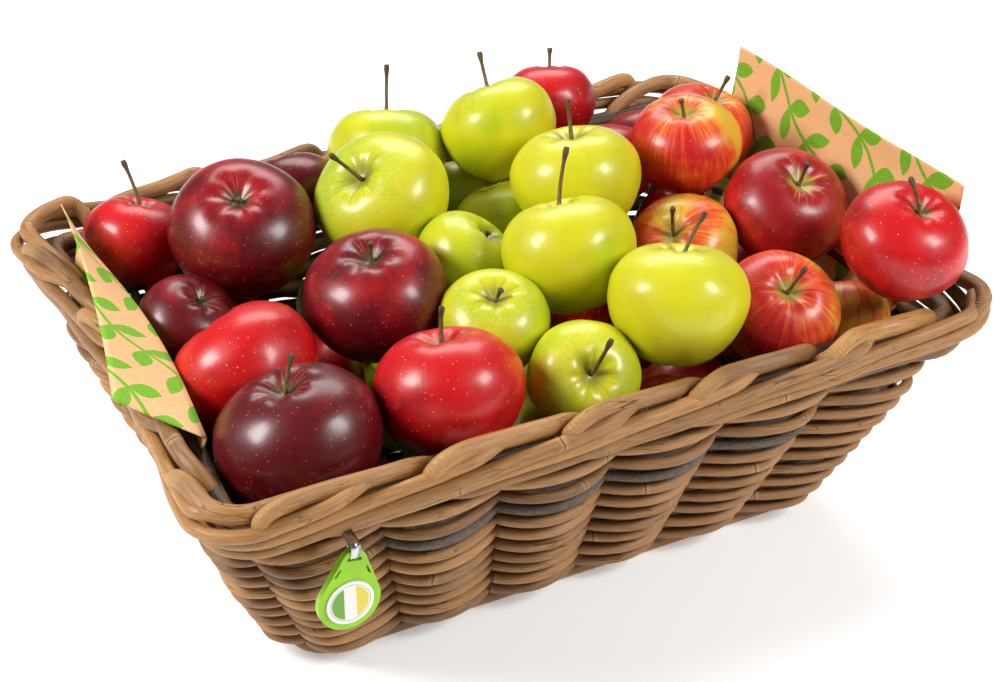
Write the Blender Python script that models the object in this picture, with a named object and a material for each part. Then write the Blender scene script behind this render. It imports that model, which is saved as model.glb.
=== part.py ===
"""Woven rectangular basket filled with loose apples, with two printed paper liners and a key-fob tag.

Units are metres, +Z is up and the origin is at the centre of the basket's underside.
X runs along the basket's long side and the tag hangs on the front, which faces -Y.
"""
import math

import bmesh
import bpy
from mathutils import Matrix, Vector

MM = 0.001

# Basket: a rounded rectangle that flares from the foot to the rim's ridge
RIM_LENGTH = 466 * MM
RIM_WIDTH = 341 * MM
RIM_CORNER = 20 * MM
BASE_LENGTH = 332 * MM
BASE_WIDTH = 209 * MM
BASE_CORNER = 24 * MM
HEIGHT = 167 * MM
CLEARANCE = 0.3 * MM

# Weave: each column is one outward bulge of the stacked rods
COLUMNS_LONG = 6
COLUMNS_SHORT = 4
COLUMNS = 2 * (COLUMNS_LONG + COLUMNS_SHORT)
WEAVE_ROWS = 10
ROW_PITCH = 11.4 * MM
WALL_THICKNESS = 7 * MM
WAVE_INWARD = 5.5 * MM
WAVE_OUTWARD = 8.5 * MM
GROOVE_DEPTH = 2.5 * MM
FOOT_HEIGHT = 10 * MM
FLOOR_TOP = 16 * MM
WEAVE_TOP = 126 * MM
WALL_TOP = 149.5 * MM
TOP_INSET = 3 * MM

# Cross-sections of the rods round the basket: offset from the wall's mean surface and height, mm
FOOT_CORNERS = ((-9, 0), (-10.5, 5), (-8.5, 10), (-2, 10), (0.5, 6), (-1.5, 0))
WALE_CORNERS = (
    (2.8, 126.5), (2.8, 150.5), (9, 161), (14, 157.5), (14.5, 148), (11, 136), (7, 126.5),
)
WALE_SLANT = 1.2 * MM
# Rolled border: how far each quarter of a column stands above and outside its mean, mm
KNUCKLE_RISE = (-1.5, -3.5, 0.0, -0.5)
KNUCKLE_PUSH = (-1.0, -1.5, 1.5, 0.5)

# Resting rule of the heap
WALL_ALLOWANCE = 9.5 * MM
CONTACT_GAP = 0.6 * MM
BORDER_RADIUS = 6 * MM
# Apples are flatter than balls, so they nest lower on each other
CONTACT_SQUASH = 0.93

# Tag: a flat teardrop fob on a folded metal clip
FOB_HEIGHT = 47 * MM
FOB_WIDTH = 33 * MM
FOB_THICKNESS = 4 * MM
FOB_TIP_RADIUS = 6.5 * MM
FOB_PLACE = Vector((-165 * MM, -180.4 * MM, 132 * MM))
FOB_TWIST = math.radians(8)
LABEL_RADIUS = 12.5 * MM
LABEL_THICKNESS = 0.8 * MM
LABEL_SIDES = 20
CLIP_WIDTH = 6 * MM
# Side view of the clip's strip in mm from the fob's tip: its outer and its inner face
CLIP_OUTSIDE = ((4.6, 10.5), (3.2, 3.0), (3.2, -5.4), (-3.1, -5.4), (-3.1, 2.0), (3.2, 10.5))
CLIP_INSIDE = ((3.9, 9.5), (2.5, 3.0), (2.5, -4.7), (-2.4, -4.7), (-2.4, 1.8), (3.2, 8.9))
# Slots cut through the fob: name, width and height, x and z of the middle in mm, turn in degrees
FOB_SLOTS = (
    ("clip_slot", 8.4, 2.6, 0, -5.2, 0),
    ("left_slot", 1.6, 6, -8.2, -12.5, 28),
    ("right_slot", 1.6, 6, 8.2, -12.5, -28),
)

# Paper liners: corners of the left one's free edge and crease, back then front, in mm
PAPER_THICKNESS = 0.8 * MM
PAPER_STEPS = 8
PAPER_TUCK_GAP = 13
LEFT_EDGE = (Vector((-213, 127, 187)), Vector((-247, -72, 179)))
LEFT_CREASE = (Vector((-206, 125, 165)), Vector((-209, -100, 161)))
LEFT_TUCK_HEIGHTS = (145, 120, 95)
LEFT_TUCK_ENDS = (122, -93)
LEFT_RIPPLE = 2
# The right one's upstanding rows: height, x at the back end and how far x grows to the front
RIGHT_ROWS = ((217, 223.5, 4.5), (203, 222.5, 5), (190, 220.5, 4.5), (168, 216.8, 1.5))
RIGHT_ENDS = (84, -135)
RIGHT_TUCKS = ((140, 80, -120), (110, 80, -104))
RIGHT_RIPPLE = 1.5

# Apple kinds: height to diameter, depth of the stem cavity to diameter, colour
KINDS = {
    "crimson": (0.89, 0.13, "8E1520"),
    "burgundy": (0.87, 0.12, "5E0F1C"),
    "golden": (0.92, 0.14, "C3C92A"),
    "striped": (0.88, 0.13, "C8452A"),
}

# Upper apples, read off the heap: name, kind, x and y of the centre and diameter in mm,
# lean from upright and the compass direction it leans to in degrees, stem length in mm
UPPER_APPLES = [
    ("striped_right_low", "striped", 175, -107, 55, 30, 60, 0),
    ("golden_centre_deep", "golden", 38, 53, 57, 30, 100, 0),
    ("crimson_left", "crimson", -161, -30, 78, 48, 120, 0),
    ("golden_back_deep", "golden", 42, 117, 57, 35, 80, 0),
    ("crimson_back_right_deep", "crimson", 176, 120, 56, 40, 70, 0),
    ("golden_front_open", "golden", -5, -121, 59, 54, -103, 17),
    ("burgundy_front_left", "burgundy", -164, -111, 83, 13, 143, 20),
    ("golden_front_deep", "golden", -33, -71, 58, 17, -109, 9),
    ("burgundy_back_left", "burgundy", -71, 127, 58, 30, 100, 0),
    ("burgundy_left_deep", "burgundy", -170, 39, 58, 26, -45, 0),
    ("crimson_back_centre", "crimson", 133, 86, 56, 40, 60, 0),
    ("crimson_front", "crimson", -82, -118, 76, 19, 97, 20),
    ("striped_front_right", "striped", 122, -118, 65, 30, -103, 18),
    ("crimson_left_back", "crimson", -172, 124, 59, 23, 34, 24),
    ("striped_centre_right", "striped", 113, -32, 64, 40, -151, 18),
    ("striped_right", "striped", 179, -39, 71, 25, -83, 16),
    ("golden_centre_left", "golden", -17, -4, 58, 35, -20, 0),
    ("burgundy_top_left", "burgundy", -121, 78, 82, 24, -115, 0),
    ("burgundy_centre", "burgundy", -82, -24, 77, 11, -139, 10),
    ("golden_front_right", "golden", 55, -118, 74, 24, 54, 24),
    ("crimson_right", "crimson", 190, -136, 68, 20, -62, 22),
    ("golden_centre_top", "golden", -39, 58, 77, 40, -163, 24),
    ("golden_centre_front", "golden", 26, -50, 72, 28, 98, 34),
    ("striped_back_right", "striped", 182, 62, 63, 22, -22, 16),
    ("golden_back_centre", "golden", 56, 94, 68, 29, 101, 26),
    ("crimson_back_right", "crimson", 111, 133, 58, 24, 60, 15),
    ("striped_centre_back", "striped", 142, 16, 64, 8, -172, 14),
    ("golden_centre_right", "golden", 64, 12, 73, 12, 97, 25),
    ("golden_back_left", "golden", -7, 125, 70, 24, 66, 30),
]

# Segments round an apple and bands from its base to its top
SHOWN_FACES = (10, 8)
HIDDEN_FACES = (8, 6)
STEM_RADIUS = 1.6 * MM

# Lower apples, all out of sight: four by two on the floor, then a staggered layer above
FLOOR_PITCH = 74.5 * MM
FLOOR_DIAMETER = 69 * MM
FLOOR_COUNT = (4, 2)
GOLDEN_REACH = 60 * MM
MIDDLE_APPLES = [
    (-156, 13, 54), (-104, 8, 56), (-47, -8, 64), (67, 13, 74), (153, -18, 74),
    (-157, -60, 60), (-67, -88, 54), (-5, -96, 68), (77, -83, 56), (-145, 80, 76),
    (-59, 73, 66), (161, -87, 54), (73, 87, 64), (167, 59, 61),
]


def linear(channel):
    """Turn one sRGB channel from 0 to 1 into linear light."""
    if channel <= 0.04045:
        return channel / 12.92
    return ((channel + 0.055) / 1.055) ** 2.4


def make_material(name, hex_colour, roughness, metallic=0.0):
    """Principled material from an sRGB hex colour, made once for each name."""
    found = bpy.data.materials.get(name)
    if found:
        return found
    material = bpy.data.materials.new(name)
    material.use_nodes = True
    shader = material.node_tree.nodes["Principled BSDF"]
    channels = [int(hex_colour[i:i + 2], 16) / 255 for i in (0, 2, 4)]
    colour = [linear(channel) for channel in channels] + [1.0]
    shader.inputs["Base Color"].default_value = colour
    shader.inputs["Roughness"].default_value = roughness
    shader.inputs["Metallic"].default_value = metallic
    material.diffuse_color = colour
    return material


def make_object(name, vertices, faces, material, sharp_degrees=35):
    """Smooth shaded mesh object from points and faces, its faces turned outwards."""
    mesh = bpy.data.meshes.new(name)
    mesh.from_pydata([tuple(vertex) for vertex in vertices], [], faces)
    shell = bmesh.new()
    shell.from_mesh(mesh)
    bmesh.ops.recalc_face_normals(shell, faces=shell.faces)
    shell.to_mesh(mesh)
    shell.free()
    mesh.materials.append(material)
    mesh.shade_smooth()
    mesh.set_sharp_from_angle(angle=math.radians(sharp_degrees))
    made = bpy.data.objects.new(name, mesh)
    bpy.context.scene.collection.objects.link(made)
    return made


def blend(low, high, share):
    return low + (high - low) * share


def half_sizes(z):
    """Half length and half width of the wall's mean surface at a height."""
    share = z / HEIGHT
    return (
        blend(BASE_LENGTH, RIM_LENGTH, share) / 2,
        blend(BASE_WIDTH, RIM_WIDTH, share) / 2,
    )


def side_point(distance, half_run, half_depth, corner):
    """Place along one side, measured from the middle of its first corner, and its depth."""
    arc = math.pi * corner / 4
    straight = 2 * (half_run - corner)
    if distance < arc:
        angle = distance / corner - math.pi / 4
        centre = corner - half_run
    elif distance <= arc + straight:
        return corner - half_run + distance - arc, half_depth
    else:
        angle = (distance - arc - straight) / corner
        centre = half_run - corner
    along = centre + corner * math.sin(angle)
    depth = half_depth - corner + corner * math.cos(angle)
    return along, depth


def plan_point(column, z, offset):
    """Point on the basket's plan at a height, offset outwards.

    The column count starts at the front left corner and runs round the front, right, back
    and left side.
    """
    half_x, half_y = half_sizes(z)
    corner = blend(BASE_CORNER, RIM_CORNER, z / HEIGHT) + offset
    half_x += offset
    half_y += offset
    sides = (
        (COLUMNS_LONG, half_x, half_y),
        (COLUMNS_SHORT, half_y, half_x),
        (COLUMNS_LONG, half_x, half_y),
        (COLUMNS_SHORT, half_y, half_x),
    )
    start = 0
    for index, (count, half_run, half_depth) in enumerate(sides):
        if column < start + count or index == len(sides) - 1:
            break
        start += count
    length = 2 * (half_run - corner) + math.pi * corner / 2
    distance = (column - start) / count * length
    along, depth = side_point(distance, half_run, half_depth, corner)
    turned = ((along, -depth), (depth, along), (-along, depth), (-depth, -along))
    return Vector((turned[index][0], turned[index][1], z))


def closed_tube(rings):
    """Faces that join rings of equal length, each ring closed and the last joined to the first."""
    count = len(rings[0])
    faces = []
    for ring in range(len(rings)):
        following = (ring + 1) % len(rings)
        for side in range(count):
            beside = (side + 1) % count
            faces.append((
                ring * count + side,
                following * count + side,
                following * count + beside,
                ring * count + beside,
            ))
    return faces


def ring_around(name, samples, section, material):
    """Closed ring that follows the basket's plan.

    section(column) gives the offset and height of each corner of its cross-section, which
    runs clockwise when the ring's outer side is on the right.
    """
    rings = []
    for sample in range(samples):
        column = sample * COLUMNS / samples
        rings.append([plan_point(column, z, offset) for offset, z in section(column)])
    vertices = [vertex for ring in rings for vertex in ring]
    return make_object(name, vertices, closed_tube(rings), material)


def wave(column, z):
    """Outward push of the stacked rods: in at each whole column, out between them."""
    rise = min(1.0, 0.6 + z / (60 * MM) * 0.4)
    fade = min(1.0, max(0.0, (WEAVE_TOP - z) / (18 * MM)))
    phase = column % 1
    push = -WAVE_INWARD if phase < 0.01 else WAVE_OUTWARD
    return push * rise * fade


def make_tub(material):
    """Woven wall and floor in one: stacked rows outside, corrugated columns, open on top."""
    samples = 3 * COLUMNS
    half = WALL_THICKNESS / 2
    outside = [(FOOT_HEIGHT + CLEARANCE, half - GROOVE_DEPTH)]
    for row in range(WEAVE_ROWS):
        crest = FOOT_HEIGHT + (row + 0.5) * ROW_PITCH
        outside.append((crest, half))
        outside.append((crest + ROW_PITCH / 2, half - GROOVE_DEPTH))
    outside.append((WALL_TOP, half - TOP_INSET))
    inside = [
        (WALL_TOP, -half - TOP_INSET),
        (WEAVE_TOP, -half - TOP_INSET),
        (WEAVE_TOP - 20 * MM, -half),
        (60 * MM, -half),
        (FLOOR_TOP, -half),
    ]
    vertices = []
    for z, offset in outside + inside:
        for sample in range(samples):
            column = sample * COLUMNS / samples
            vertices.append(plan_point(column, z, offset + wave(column, z)))
    faces = []
    for ring in range(len(outside) + len(inside) - 1):
        for sample in range(samples):
            beside = (sample + 1) % samples
            faces.append((
                ring * samples + sample,
                ring * samples + beside,
                (ring + 1) * samples + beside,
                (ring + 1) * samples + sample,
            ))
    underside = len(vertices)
    vertices.append(Vector((0, 0, FOOT_HEIGHT + CLEARANCE)))
    floor = len(vertices)
    vertices.append(Vector((0, 0, FLOOR_TOP)))
    last = underside - samples
    for sample in range(samples):
        beside = (sample + 1) % samples
        faces.append((underside, beside, sample))
        faces.append((floor, last + sample, last + beside))
    return make_object("woven_tub", vertices, faces, material)


def foot_section(column):
    """Thick rod under the wall, flat where it stands."""
    return [(offset * MM, z * MM) for offset, z in FOOT_CORNERS]


def wale_section(column):
    """Long rods that wrap the top of the wall outside, each further out than the one below."""
    slant = WALE_SLANT * math.sin(2 * math.pi * column / 2)
    return [(offset * MM, z * MM + slant) for offset, z in WALE_CORNERS]


def border_section(column):
    """Rolled border: each bent stake rises from outside at mid column and dives before the next."""
    quarter = round(column % 1 * 4) % 4
    rise = KNUCKLE_RISE[quarter]
    push = KNUCKLE_PUSH[quarter]
    corners = (
        (-9, 153),
        (-8, 162 + rise),
        (-3, 167 + rise),
        (3 + push, 166 + rise),
        (4.5, 159.5),
        (-1, 152),
    )
    return [(offset * MM, z * MM) for offset, z in corners]


def make_basket():
    rattan = make_material("weathered_rattan", "8A6B4C", 0.55)
    peeled = make_material("polished_rattan", "97754F", 0.45)
    make_tub(rattan)
    ring_around("foot_rod", 2 * COLUMNS, foot_section, peeled)
    ring_around("wale_rods", 3 * COLUMNS, wale_section, peeled)
    ring_around("rolled_border", 4 * COLUMNS, border_section, peeled)


def resting_height(x, y, radius, placed):
    """Height of a ball's centre at x and y where it first touches the floor, wall, rim or a ball."""
    z = FLOOR_TOP + radius
    base_x, base_y = half_sizes(0)
    rim_x, rim_y = half_sizes(HEIGHT)
    for base, rim, place in ((base_x, rim_x, abs(x)), (base_y, rim_y, abs(y))):
        slope = (rim - base) / HEIGHT
        tilt = 1 / math.sqrt(1 + slope * slope)
        on_wall = (radius / tilt + place - base + WALL_ALLOWANCE) / slope
        if on_wall <= z:
            continue
        if on_wall - radius * slope * tilt < HEIGHT - BORDER_RADIUS:
            z = on_wall
            continue
        inward = rim - 2 * MM - BORDER_RADIUS - place
        reach = radius + BORDER_RADIUS
        if abs(inward) < reach:
            z = max(z, HEIGHT - BORDER_RADIUS + math.sqrt(reach * reach - inward * inward))
    for other_x, other_y, other_z, other_radius in placed:
        apart = (x - other_x) ** 2 + (y - other_y) ** 2
        reach = (radius + other_radius + CONTACT_GAP) ** 2
        if apart < reach:
            z = max(z, other_z + CONTACT_SQUASH * math.sqrt(reach - apart))
    return z


def apple_rings(diameter, kind, bands, stem_length):
    """Radius, height and sideways bend of each ring, from near the calyx to the stem's end."""
    height_share, cavity_share, _ = KINDS[kind]
    radius = diameter / 2
    half_height = radius * height_share
    cavity = diameter * cavity_share
    rings = []
    for band in range(1, bands):
        angle = math.pi * band / bands
        ring_radius = radius * math.sin(angle) ** 0.88
        height = -half_height * math.cos(angle)
        if angle > math.pi / 2:
            height -= cavity * math.exp(-(ring_radius / (0.30 * radius)) ** 2)
        rings.append((ring_radius, height, 0.0))
    top = half_height - cavity
    if stem_length:
        rings.append((STEM_RADIUS, top, 0.0))
        rings.append((STEM_RADIUS * 0.9, top + stem_length * 0.6, 0.06 * stem_length))
        rings.append((STEM_RADIUS * 1.4, top + stem_length, 0.2 * stem_length))
        top += stem_length
    return rings, -half_height + 0.35 * cavity, top


def make_apple(name, kind, centre, diameter, lean, toward, stem_length, segments, bands):
    """Turned apple with its cavity and, where one shows, its stem, in one closed mesh."""
    rings, bottom, top = apple_rings(diameter, kind, bands, stem_length)
    vertices = [Vector((0, 0, bottom))]
    for ring_radius, height, bend in rings:
        for segment in range(segments):
            angle = 2 * math.pi * segment / segments
            vertices.append(Vector((
                ring_radius * math.cos(angle) + bend,
                ring_radius * math.sin(angle),
                height,
            )))
    vertices.append(Vector((rings[-1][2], 0, top)))
    faces = []
    for segment in range(segments):
        beside = (segment + 1) % segments
        faces.append((0, 1 + beside, 1 + segment))
        for ring in range(len(rings) - 1):
            low = 1 + ring * segments
            high = low + segments
            faces.append((low + segment, low + beside, high + beside, high + segment))
        last = 1 + (len(rings) - 1) * segments
        faces.append((len(vertices) - 1, last + segment, last + beside))
    colour = KINDS[kind][2]
    skin = make_material(kind + "_skin", colour, 0.28)
    apple = make_object(name, vertices, faces, skin, 60)
    turn = Matrix.Rotation(math.radians(toward), 4, "Z")
    tip = Matrix.Rotation(math.radians(lean), 4, "Y")
    apple.matrix_world = Matrix.Translation(centre) @ turn @ tip
    return apple


def hidden_kind(x, index):
    """Kind of a lower apple: the heap is dark red at its left, yellow-green in the middle and red right."""
    if abs(x) < GOLDEN_REACH:
        return "golden"
    pair = ("burgundy", "crimson") if x < 0 else ("striped", "crimson")
    return pair[index % 2]


def make_heap():
    """Floor layer, hidden middle layer and the apples that show, each lowered until it touches."""
    placed = []
    hidden = []
    for column in range(FLOOR_COUNT[0]):
        for row in range(FLOOR_COUNT[1]):
            x = (column - (FLOOR_COUNT[0] - 1) / 2) * FLOOR_PITCH
            y = (row - (FLOOR_COUNT[1] - 1) / 2) * FLOOR_PITCH
            hidden.append(("floor", x, y, FLOOR_DIAMETER))
    for x, y, diameter in MIDDLE_APPLES:
        hidden.append(("middle", x * MM, y * MM, diameter * MM))
    for index, (layer, x, y, diameter) in enumerate(hidden):
        z = resting_height(x, y, diameter / 2, placed)
        placed.append((x, y, z, diameter / 2))
        kind = hidden_kind(x, index)
        lean = 15 + 50 * (index * 0.618 % 1)
        toward = 360 * (index * 0.382 % 1)
        name = f"{layer}_apple_{index + 1:02d}"
        make_apple(name, kind, Vector((x, y, z)), diameter, lean, toward, 0, *HIDDEN_FACES)
    for name, kind, x, y, diameter, lean, toward, stem in UPPER_APPLES:
        radius = diameter * MM / 2
        z = resting_height(x * MM, y * MM, radius, placed)
        placed.append((x * MM, y * MM, z, radius))
        centre = Vector((x * MM, y * MM, z))
        size = diameter * MM
        make_apple(name + "_apple", kind, centre, size, lean, toward, stem * MM, *SHOWN_FACES)


def make_sheet(name, rows, material):
    """Thin sheet through rows of points, both faces split into the same triangles."""
    across = len(rows[0])
    points = [Vector(point) * MM for row in rows for point in row]
    normals = [Vector((0, 0, 0)) for _ in points]
    triangles = []
    for row in range(len(rows) - 1):
        for column in range(across - 1):
            corner = row * across + column
            triangles.append((corner, corner + 1, corner + across))
            triangles.append((corner + 1, corner + across + 1, corner + across))
    for a, b, c in triangles:
        normal = (points[b] - points[a]).cross(points[c] - points[a])
        for index in (a, b, c):
            normals[index] += normal
    vertices = []
    for sign in (0.5, -0.5):
        for point, normal in zip(points, normals):
            vertices.append(point + normal.normalized() * sign * PAPER_THICKNESS)
    back = len(points)
    faces = list(triangles)
    faces += [(c + back, b + back, a + back) for a, b, c in triangles]
    rim = [column for column in range(across)]
    rim += [row * across + across - 1 for row in range(1, len(rows))]
    rim += [(len(rows) - 1) * across + column for column in range(across - 2, -1, -1)]
    rim += [row * across for row in range(len(rows) - 2, 0, -1)]
    for index, first in enumerate(rim):
        second = rim[(index + 1) % len(rim)]
        faces.append((first, first + back, second + back))
        faces.append((first, second + back, second))
    return make_object(name, vertices, faces, material)


def inside_wall(z, gap):
    """Distance in mm from the middle plane to just inside the short side's wall at a height in mm."""
    return half_sizes(z * MM)[0] / MM - gap


def make_papers():
    """Left liner folded out over the rim, right liner standing above it, both tucked down inside."""
    kraft = make_material("printed_kraft_paper", "D2A878", 0.75)
    shares = [step / PAPER_STEPS for step in range(PAPER_STEPS + 1)]
    left = []
    for fraction in (0.0, 0.5, 1.0):
        row = []
        for share in shares:
            ripple = LEFT_RIPPLE * math.sin(share * 3 * math.pi)
            edge = LEFT_EDGE[0].lerp(LEFT_EDGE[1], share) + Vector((0, 0, ripple))
            crease = LEFT_CREASE[0].lerp(LEFT_CREASE[1], share)
            row.append(edge.lerp(crease, fraction))
        left.append(row)
    for z in LEFT_TUCK_HEIGHTS:
        x = -inside_wall(z, PAPER_TUCK_GAP)
        left.append([Vector((x, blend(*LEFT_TUCK_ENDS, share), z)) for share in shares])
    right = []
    lowest = RIGHT_ROWS[-1][0]
    highest = RIGHT_ROWS[0][0]
    for z, back, lean in RIGHT_ROWS:
        freedom = (z - lowest) / (highest - lowest)
        row = []
        for share in shares:
            ripple = RIGHT_RIPPLE * math.sin(share * 2.5 * math.pi) * freedom
            row.append(Vector((back + lean * share + ripple, blend(*RIGHT_ENDS, share), z)))
        right.append(row)
    for z, back_end, front_end in RIGHT_TUCKS:
        x = inside_wall(z, PAPER_TUCK_GAP)
        right.append([Vector((x, blend(back_end, front_end, share), z)) for share in shares])
    make_sheet("left_paper", left, kraft)
    make_sheet("right_paper", right[::-1], kraft)


def extruded(name, outline, depth, material):
    """Flat plate in the XZ plane from an outline of x and z, with its middle on y = 0."""
    count = len(outline)
    vertices = [Vector((x, -depth / 2, z)) for x, z in outline]
    vertices += [Vector((x, depth / 2, z)) for x, z in outline]
    faces = [tuple(range(count)), tuple(range(2 * count - 1, count - 1, -1))]
    for index in range(count):
        beside = (index + 1) % count
        faces.append((index, index + count, beside + count, beside))
    return make_object(name, vertices, faces, material)


def teardrop_outline():
    """Large and small circle joined by their outer tangents, with the tip at z = 0."""
    big = FOB_WIDTH / 2
    small = FOB_TIP_RADIUS
    big_z = -(FOB_HEIGHT - big)
    small_z = -small
    tangent = math.asin((big - small) / (small_z - big_z))
    outline = []
    for step in range(13):
        angle = math.pi - tangent + (math.pi + 2 * tangent) * step / 12
        outline.append((big * math.cos(angle), big_z + big * math.sin(angle)))
    for step in range(7):
        angle = tangent + (math.pi - 2 * tangent) * step / 6
        outline.append((small * math.cos(angle), small_z + small * math.sin(angle)))
    return outline


def make_cutter(name, width, depth, height, place, angle, parent):
    """Box that cuts a slot, kept out of the render."""
    signs = ((-1, -1), (1, -1), (1, 1), (-1, 1))
    corners = [(x * width / 2, z * height / 2) for x, z in signs]
    cutter = extruded(name, corners, depth, make_material("slot_cutter", "808080", 0.5))
    cutter.parent = parent
    cutter.location = place
    cutter.rotation_euler = (0, angle, 0)
    cutter.hide_render = True
    cutter.display_type = "WIRE"
    return cutter


def make_clip(parent, material):
    """Folded metal strip: up behind the fob, through its slot and up in front."""
    outline = [(y * MM, z * MM) for y, z in CLIP_OUTSIDE]
    outline += [(y * MM, z * MM) for y, z in reversed(CLIP_INSIDE)]
    count = len(outline)
    vertices = [Vector((-CLIP_WIDTH / 2, y, z)) for y, z in outline]
    vertices += [Vector((CLIP_WIDTH / 2, y, z)) for y, z in outline]
    faces = [tuple(range(count)), tuple(range(2 * count - 1, count - 1, -1))]
    for index in range(count):
        beside = (index + 1) % count
        faces.append((index, index + count, beside + count, beside))
    clip = make_object("tag_clip", vertices, faces, material)
    clip.parent = parent
    return clip


def make_tag():
    """Plastic teardrop fob with three slots and a round label, hung by its clip from the wale."""
    hanger = bpy.data.objects.new("tag_hanger", None)
    bpy.context.scene.collection.objects.link(hanger)
    hanger.location = FOB_PLACE
    hanger.rotation_euler = (0, FOB_TWIST, 0)
    lime = make_material("lime_abs", "7FE01A", 0.3)
    fob = extruded("tag_fob", teardrop_outline(), FOB_THICKNESS, lime)
    fob.parent = hanger
    for name, width, height, x, z, turn in FOB_SLOTS:
        place = Vector((x, 0, z)) * MM
        depth = 3 * FOB_THICKNESS
        cutter = make_cutter(name, width * MM, depth, height * MM, place, math.radians(turn), hanger)
        cut = fob.modifiers.new(name, "BOOLEAN")
        cut.operation = "DIFFERENCE"
        cut.object = cutter
    make_clip(hanger, make_material("zinc_plated_steel", "C9CACC", 0.25, 1.0))
    disc = []
    for side in range(LABEL_SIDES):
        angle = 2 * math.pi * side / LABEL_SIDES
        disc.append((LABEL_RADIUS * math.cos(angle), LABEL_RADIUS * math.sin(angle)))
    gloss = make_material("glossy_label", "F2F2EC", 0.25)
    label = extruded("tag_label", disc, LABEL_THICKNESS, gloss)
    label.parent = hanger
    front = -FOB_THICKNESS / 2 - LABEL_THICKNESS / 2 - CLEARANCE
    label.location = (0, front, -(FOB_HEIGHT - FOB_WIDTH / 2))


def main():
    for leftover in list(bpy.data.objects):
        bpy.data.objects.remove(leftover, do_unlink=True)
    make_basket()
    make_heap()
    make_papers()
    make_tag()


main()
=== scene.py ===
"""Looks of the basket of apples: rattan rods, fruit skins, printed kraft liners and the key-fob tag.

Lengths are metres, +Z is up and the basket stands on z = 0, its tagged front facing -Y.
"""
import math
import random

import bmesh
import bpy
from mathutils import Matrix, Vector


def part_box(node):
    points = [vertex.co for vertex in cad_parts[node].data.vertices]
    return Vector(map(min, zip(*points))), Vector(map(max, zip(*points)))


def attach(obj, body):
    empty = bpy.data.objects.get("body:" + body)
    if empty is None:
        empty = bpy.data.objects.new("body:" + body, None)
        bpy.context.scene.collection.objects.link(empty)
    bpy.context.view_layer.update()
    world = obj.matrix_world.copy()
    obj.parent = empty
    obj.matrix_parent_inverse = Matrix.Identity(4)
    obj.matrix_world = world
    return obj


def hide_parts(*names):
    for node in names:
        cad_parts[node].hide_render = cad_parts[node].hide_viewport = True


MM = 0.001
BODY = "root"

# Basket: a rounded rectangle that flares from the foot to the rim's ridge
RIM_LENGTH = 466 * MM
RIM_WIDTH = 341 * MM
RIM_CORNER = 20 * MM
BASE_LENGTH = 332 * MM
BASE_WIDTH = 209 * MM
BASE_CORNER = 24 * MM
HEIGHT = 167 * MM

# Each column is one outward bulge of the stacked rods
COLUMNS_LONG = 6
COLUMNS_SHORT = 4
COLUMNS = 2 * (COLUMNS_LONG + COLUMNS_SHORT)
WEAVE_ROWS = 10
ROW_PITCH = 11.4 * MM
FOOT_HEIGHT = 10 * MM
WEAVE_TOP = 126 * MM
# The left side is drawn in at its middle, where the liner is folded over it
LEFT_BOW = 11 * MM

WEAVE_ROD = 6.5 * MM
WALE_ROD = 7.9 * MM
BORDER_ROD = 10.2 * MM
FOOT_ROD = 10.4 * MM
STAKE_ROD = 5.85 * MM
# Rods behind the weave, which close it
INNER_ROD = 11 * MM

# Base: sticks along the width, woven with rods along the length whose plan has round corners
BASE_ROD = 6 * MM
BASE_LEVEL = 13.2 * MM
BASE_INSET = 9 * MM
BASE_STICKS = 9
BASE_STICK_MARGIN = 14 * MM
BASE_ROWS = 31
BASE_ROW_MARGIN = 5 * MM
BASE_ROUNDING = 30 * MM
BASE_SWAY = 2.2 * MM

# Apple kinds: height to diameter, depth and width of the stem cavity, taper and lobes
APPLE_FORMS = {
    "crimson": {"Height": 0.98, "Cavity Depth": 0.13, "Cavity Width": 0.21, "Taper": 0.09, "Lobes": 0.010},
    "burgundy": {"Height": 0.95, "Cavity Depth": 0.12, "Cavity Width": 0.19, "Taper": 0.08, "Lobes": 0.007},
    "golden": {"Height": 1.01, "Cavity Depth": 0.14, "Cavity Width": 0.22, "Taper": 0.13, "Lobes": 0.010},
    "striped": {"Height": 0.97, "Cavity Depth": 0.13, "Cavity Width": 0.23, "Taper": 0.08, "Lobes": 0.010},
}

# Depth and width of the dip round the calyx, in diameters
CALYX_DEPTH = 0.055
CALYX_WIDTH = 0.24
# The apples that show are wider than their solids by the first factor, and every apple is taller than
# its solid by the second. Both were set against the photograph.
SHOWN_SWELL = 1.045
APPLE_RISE = 1.03
# Segments and rings of an apple that shows and of one under the heap
FINE = (72, 44)
COARSE = (32, 20)

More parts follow.
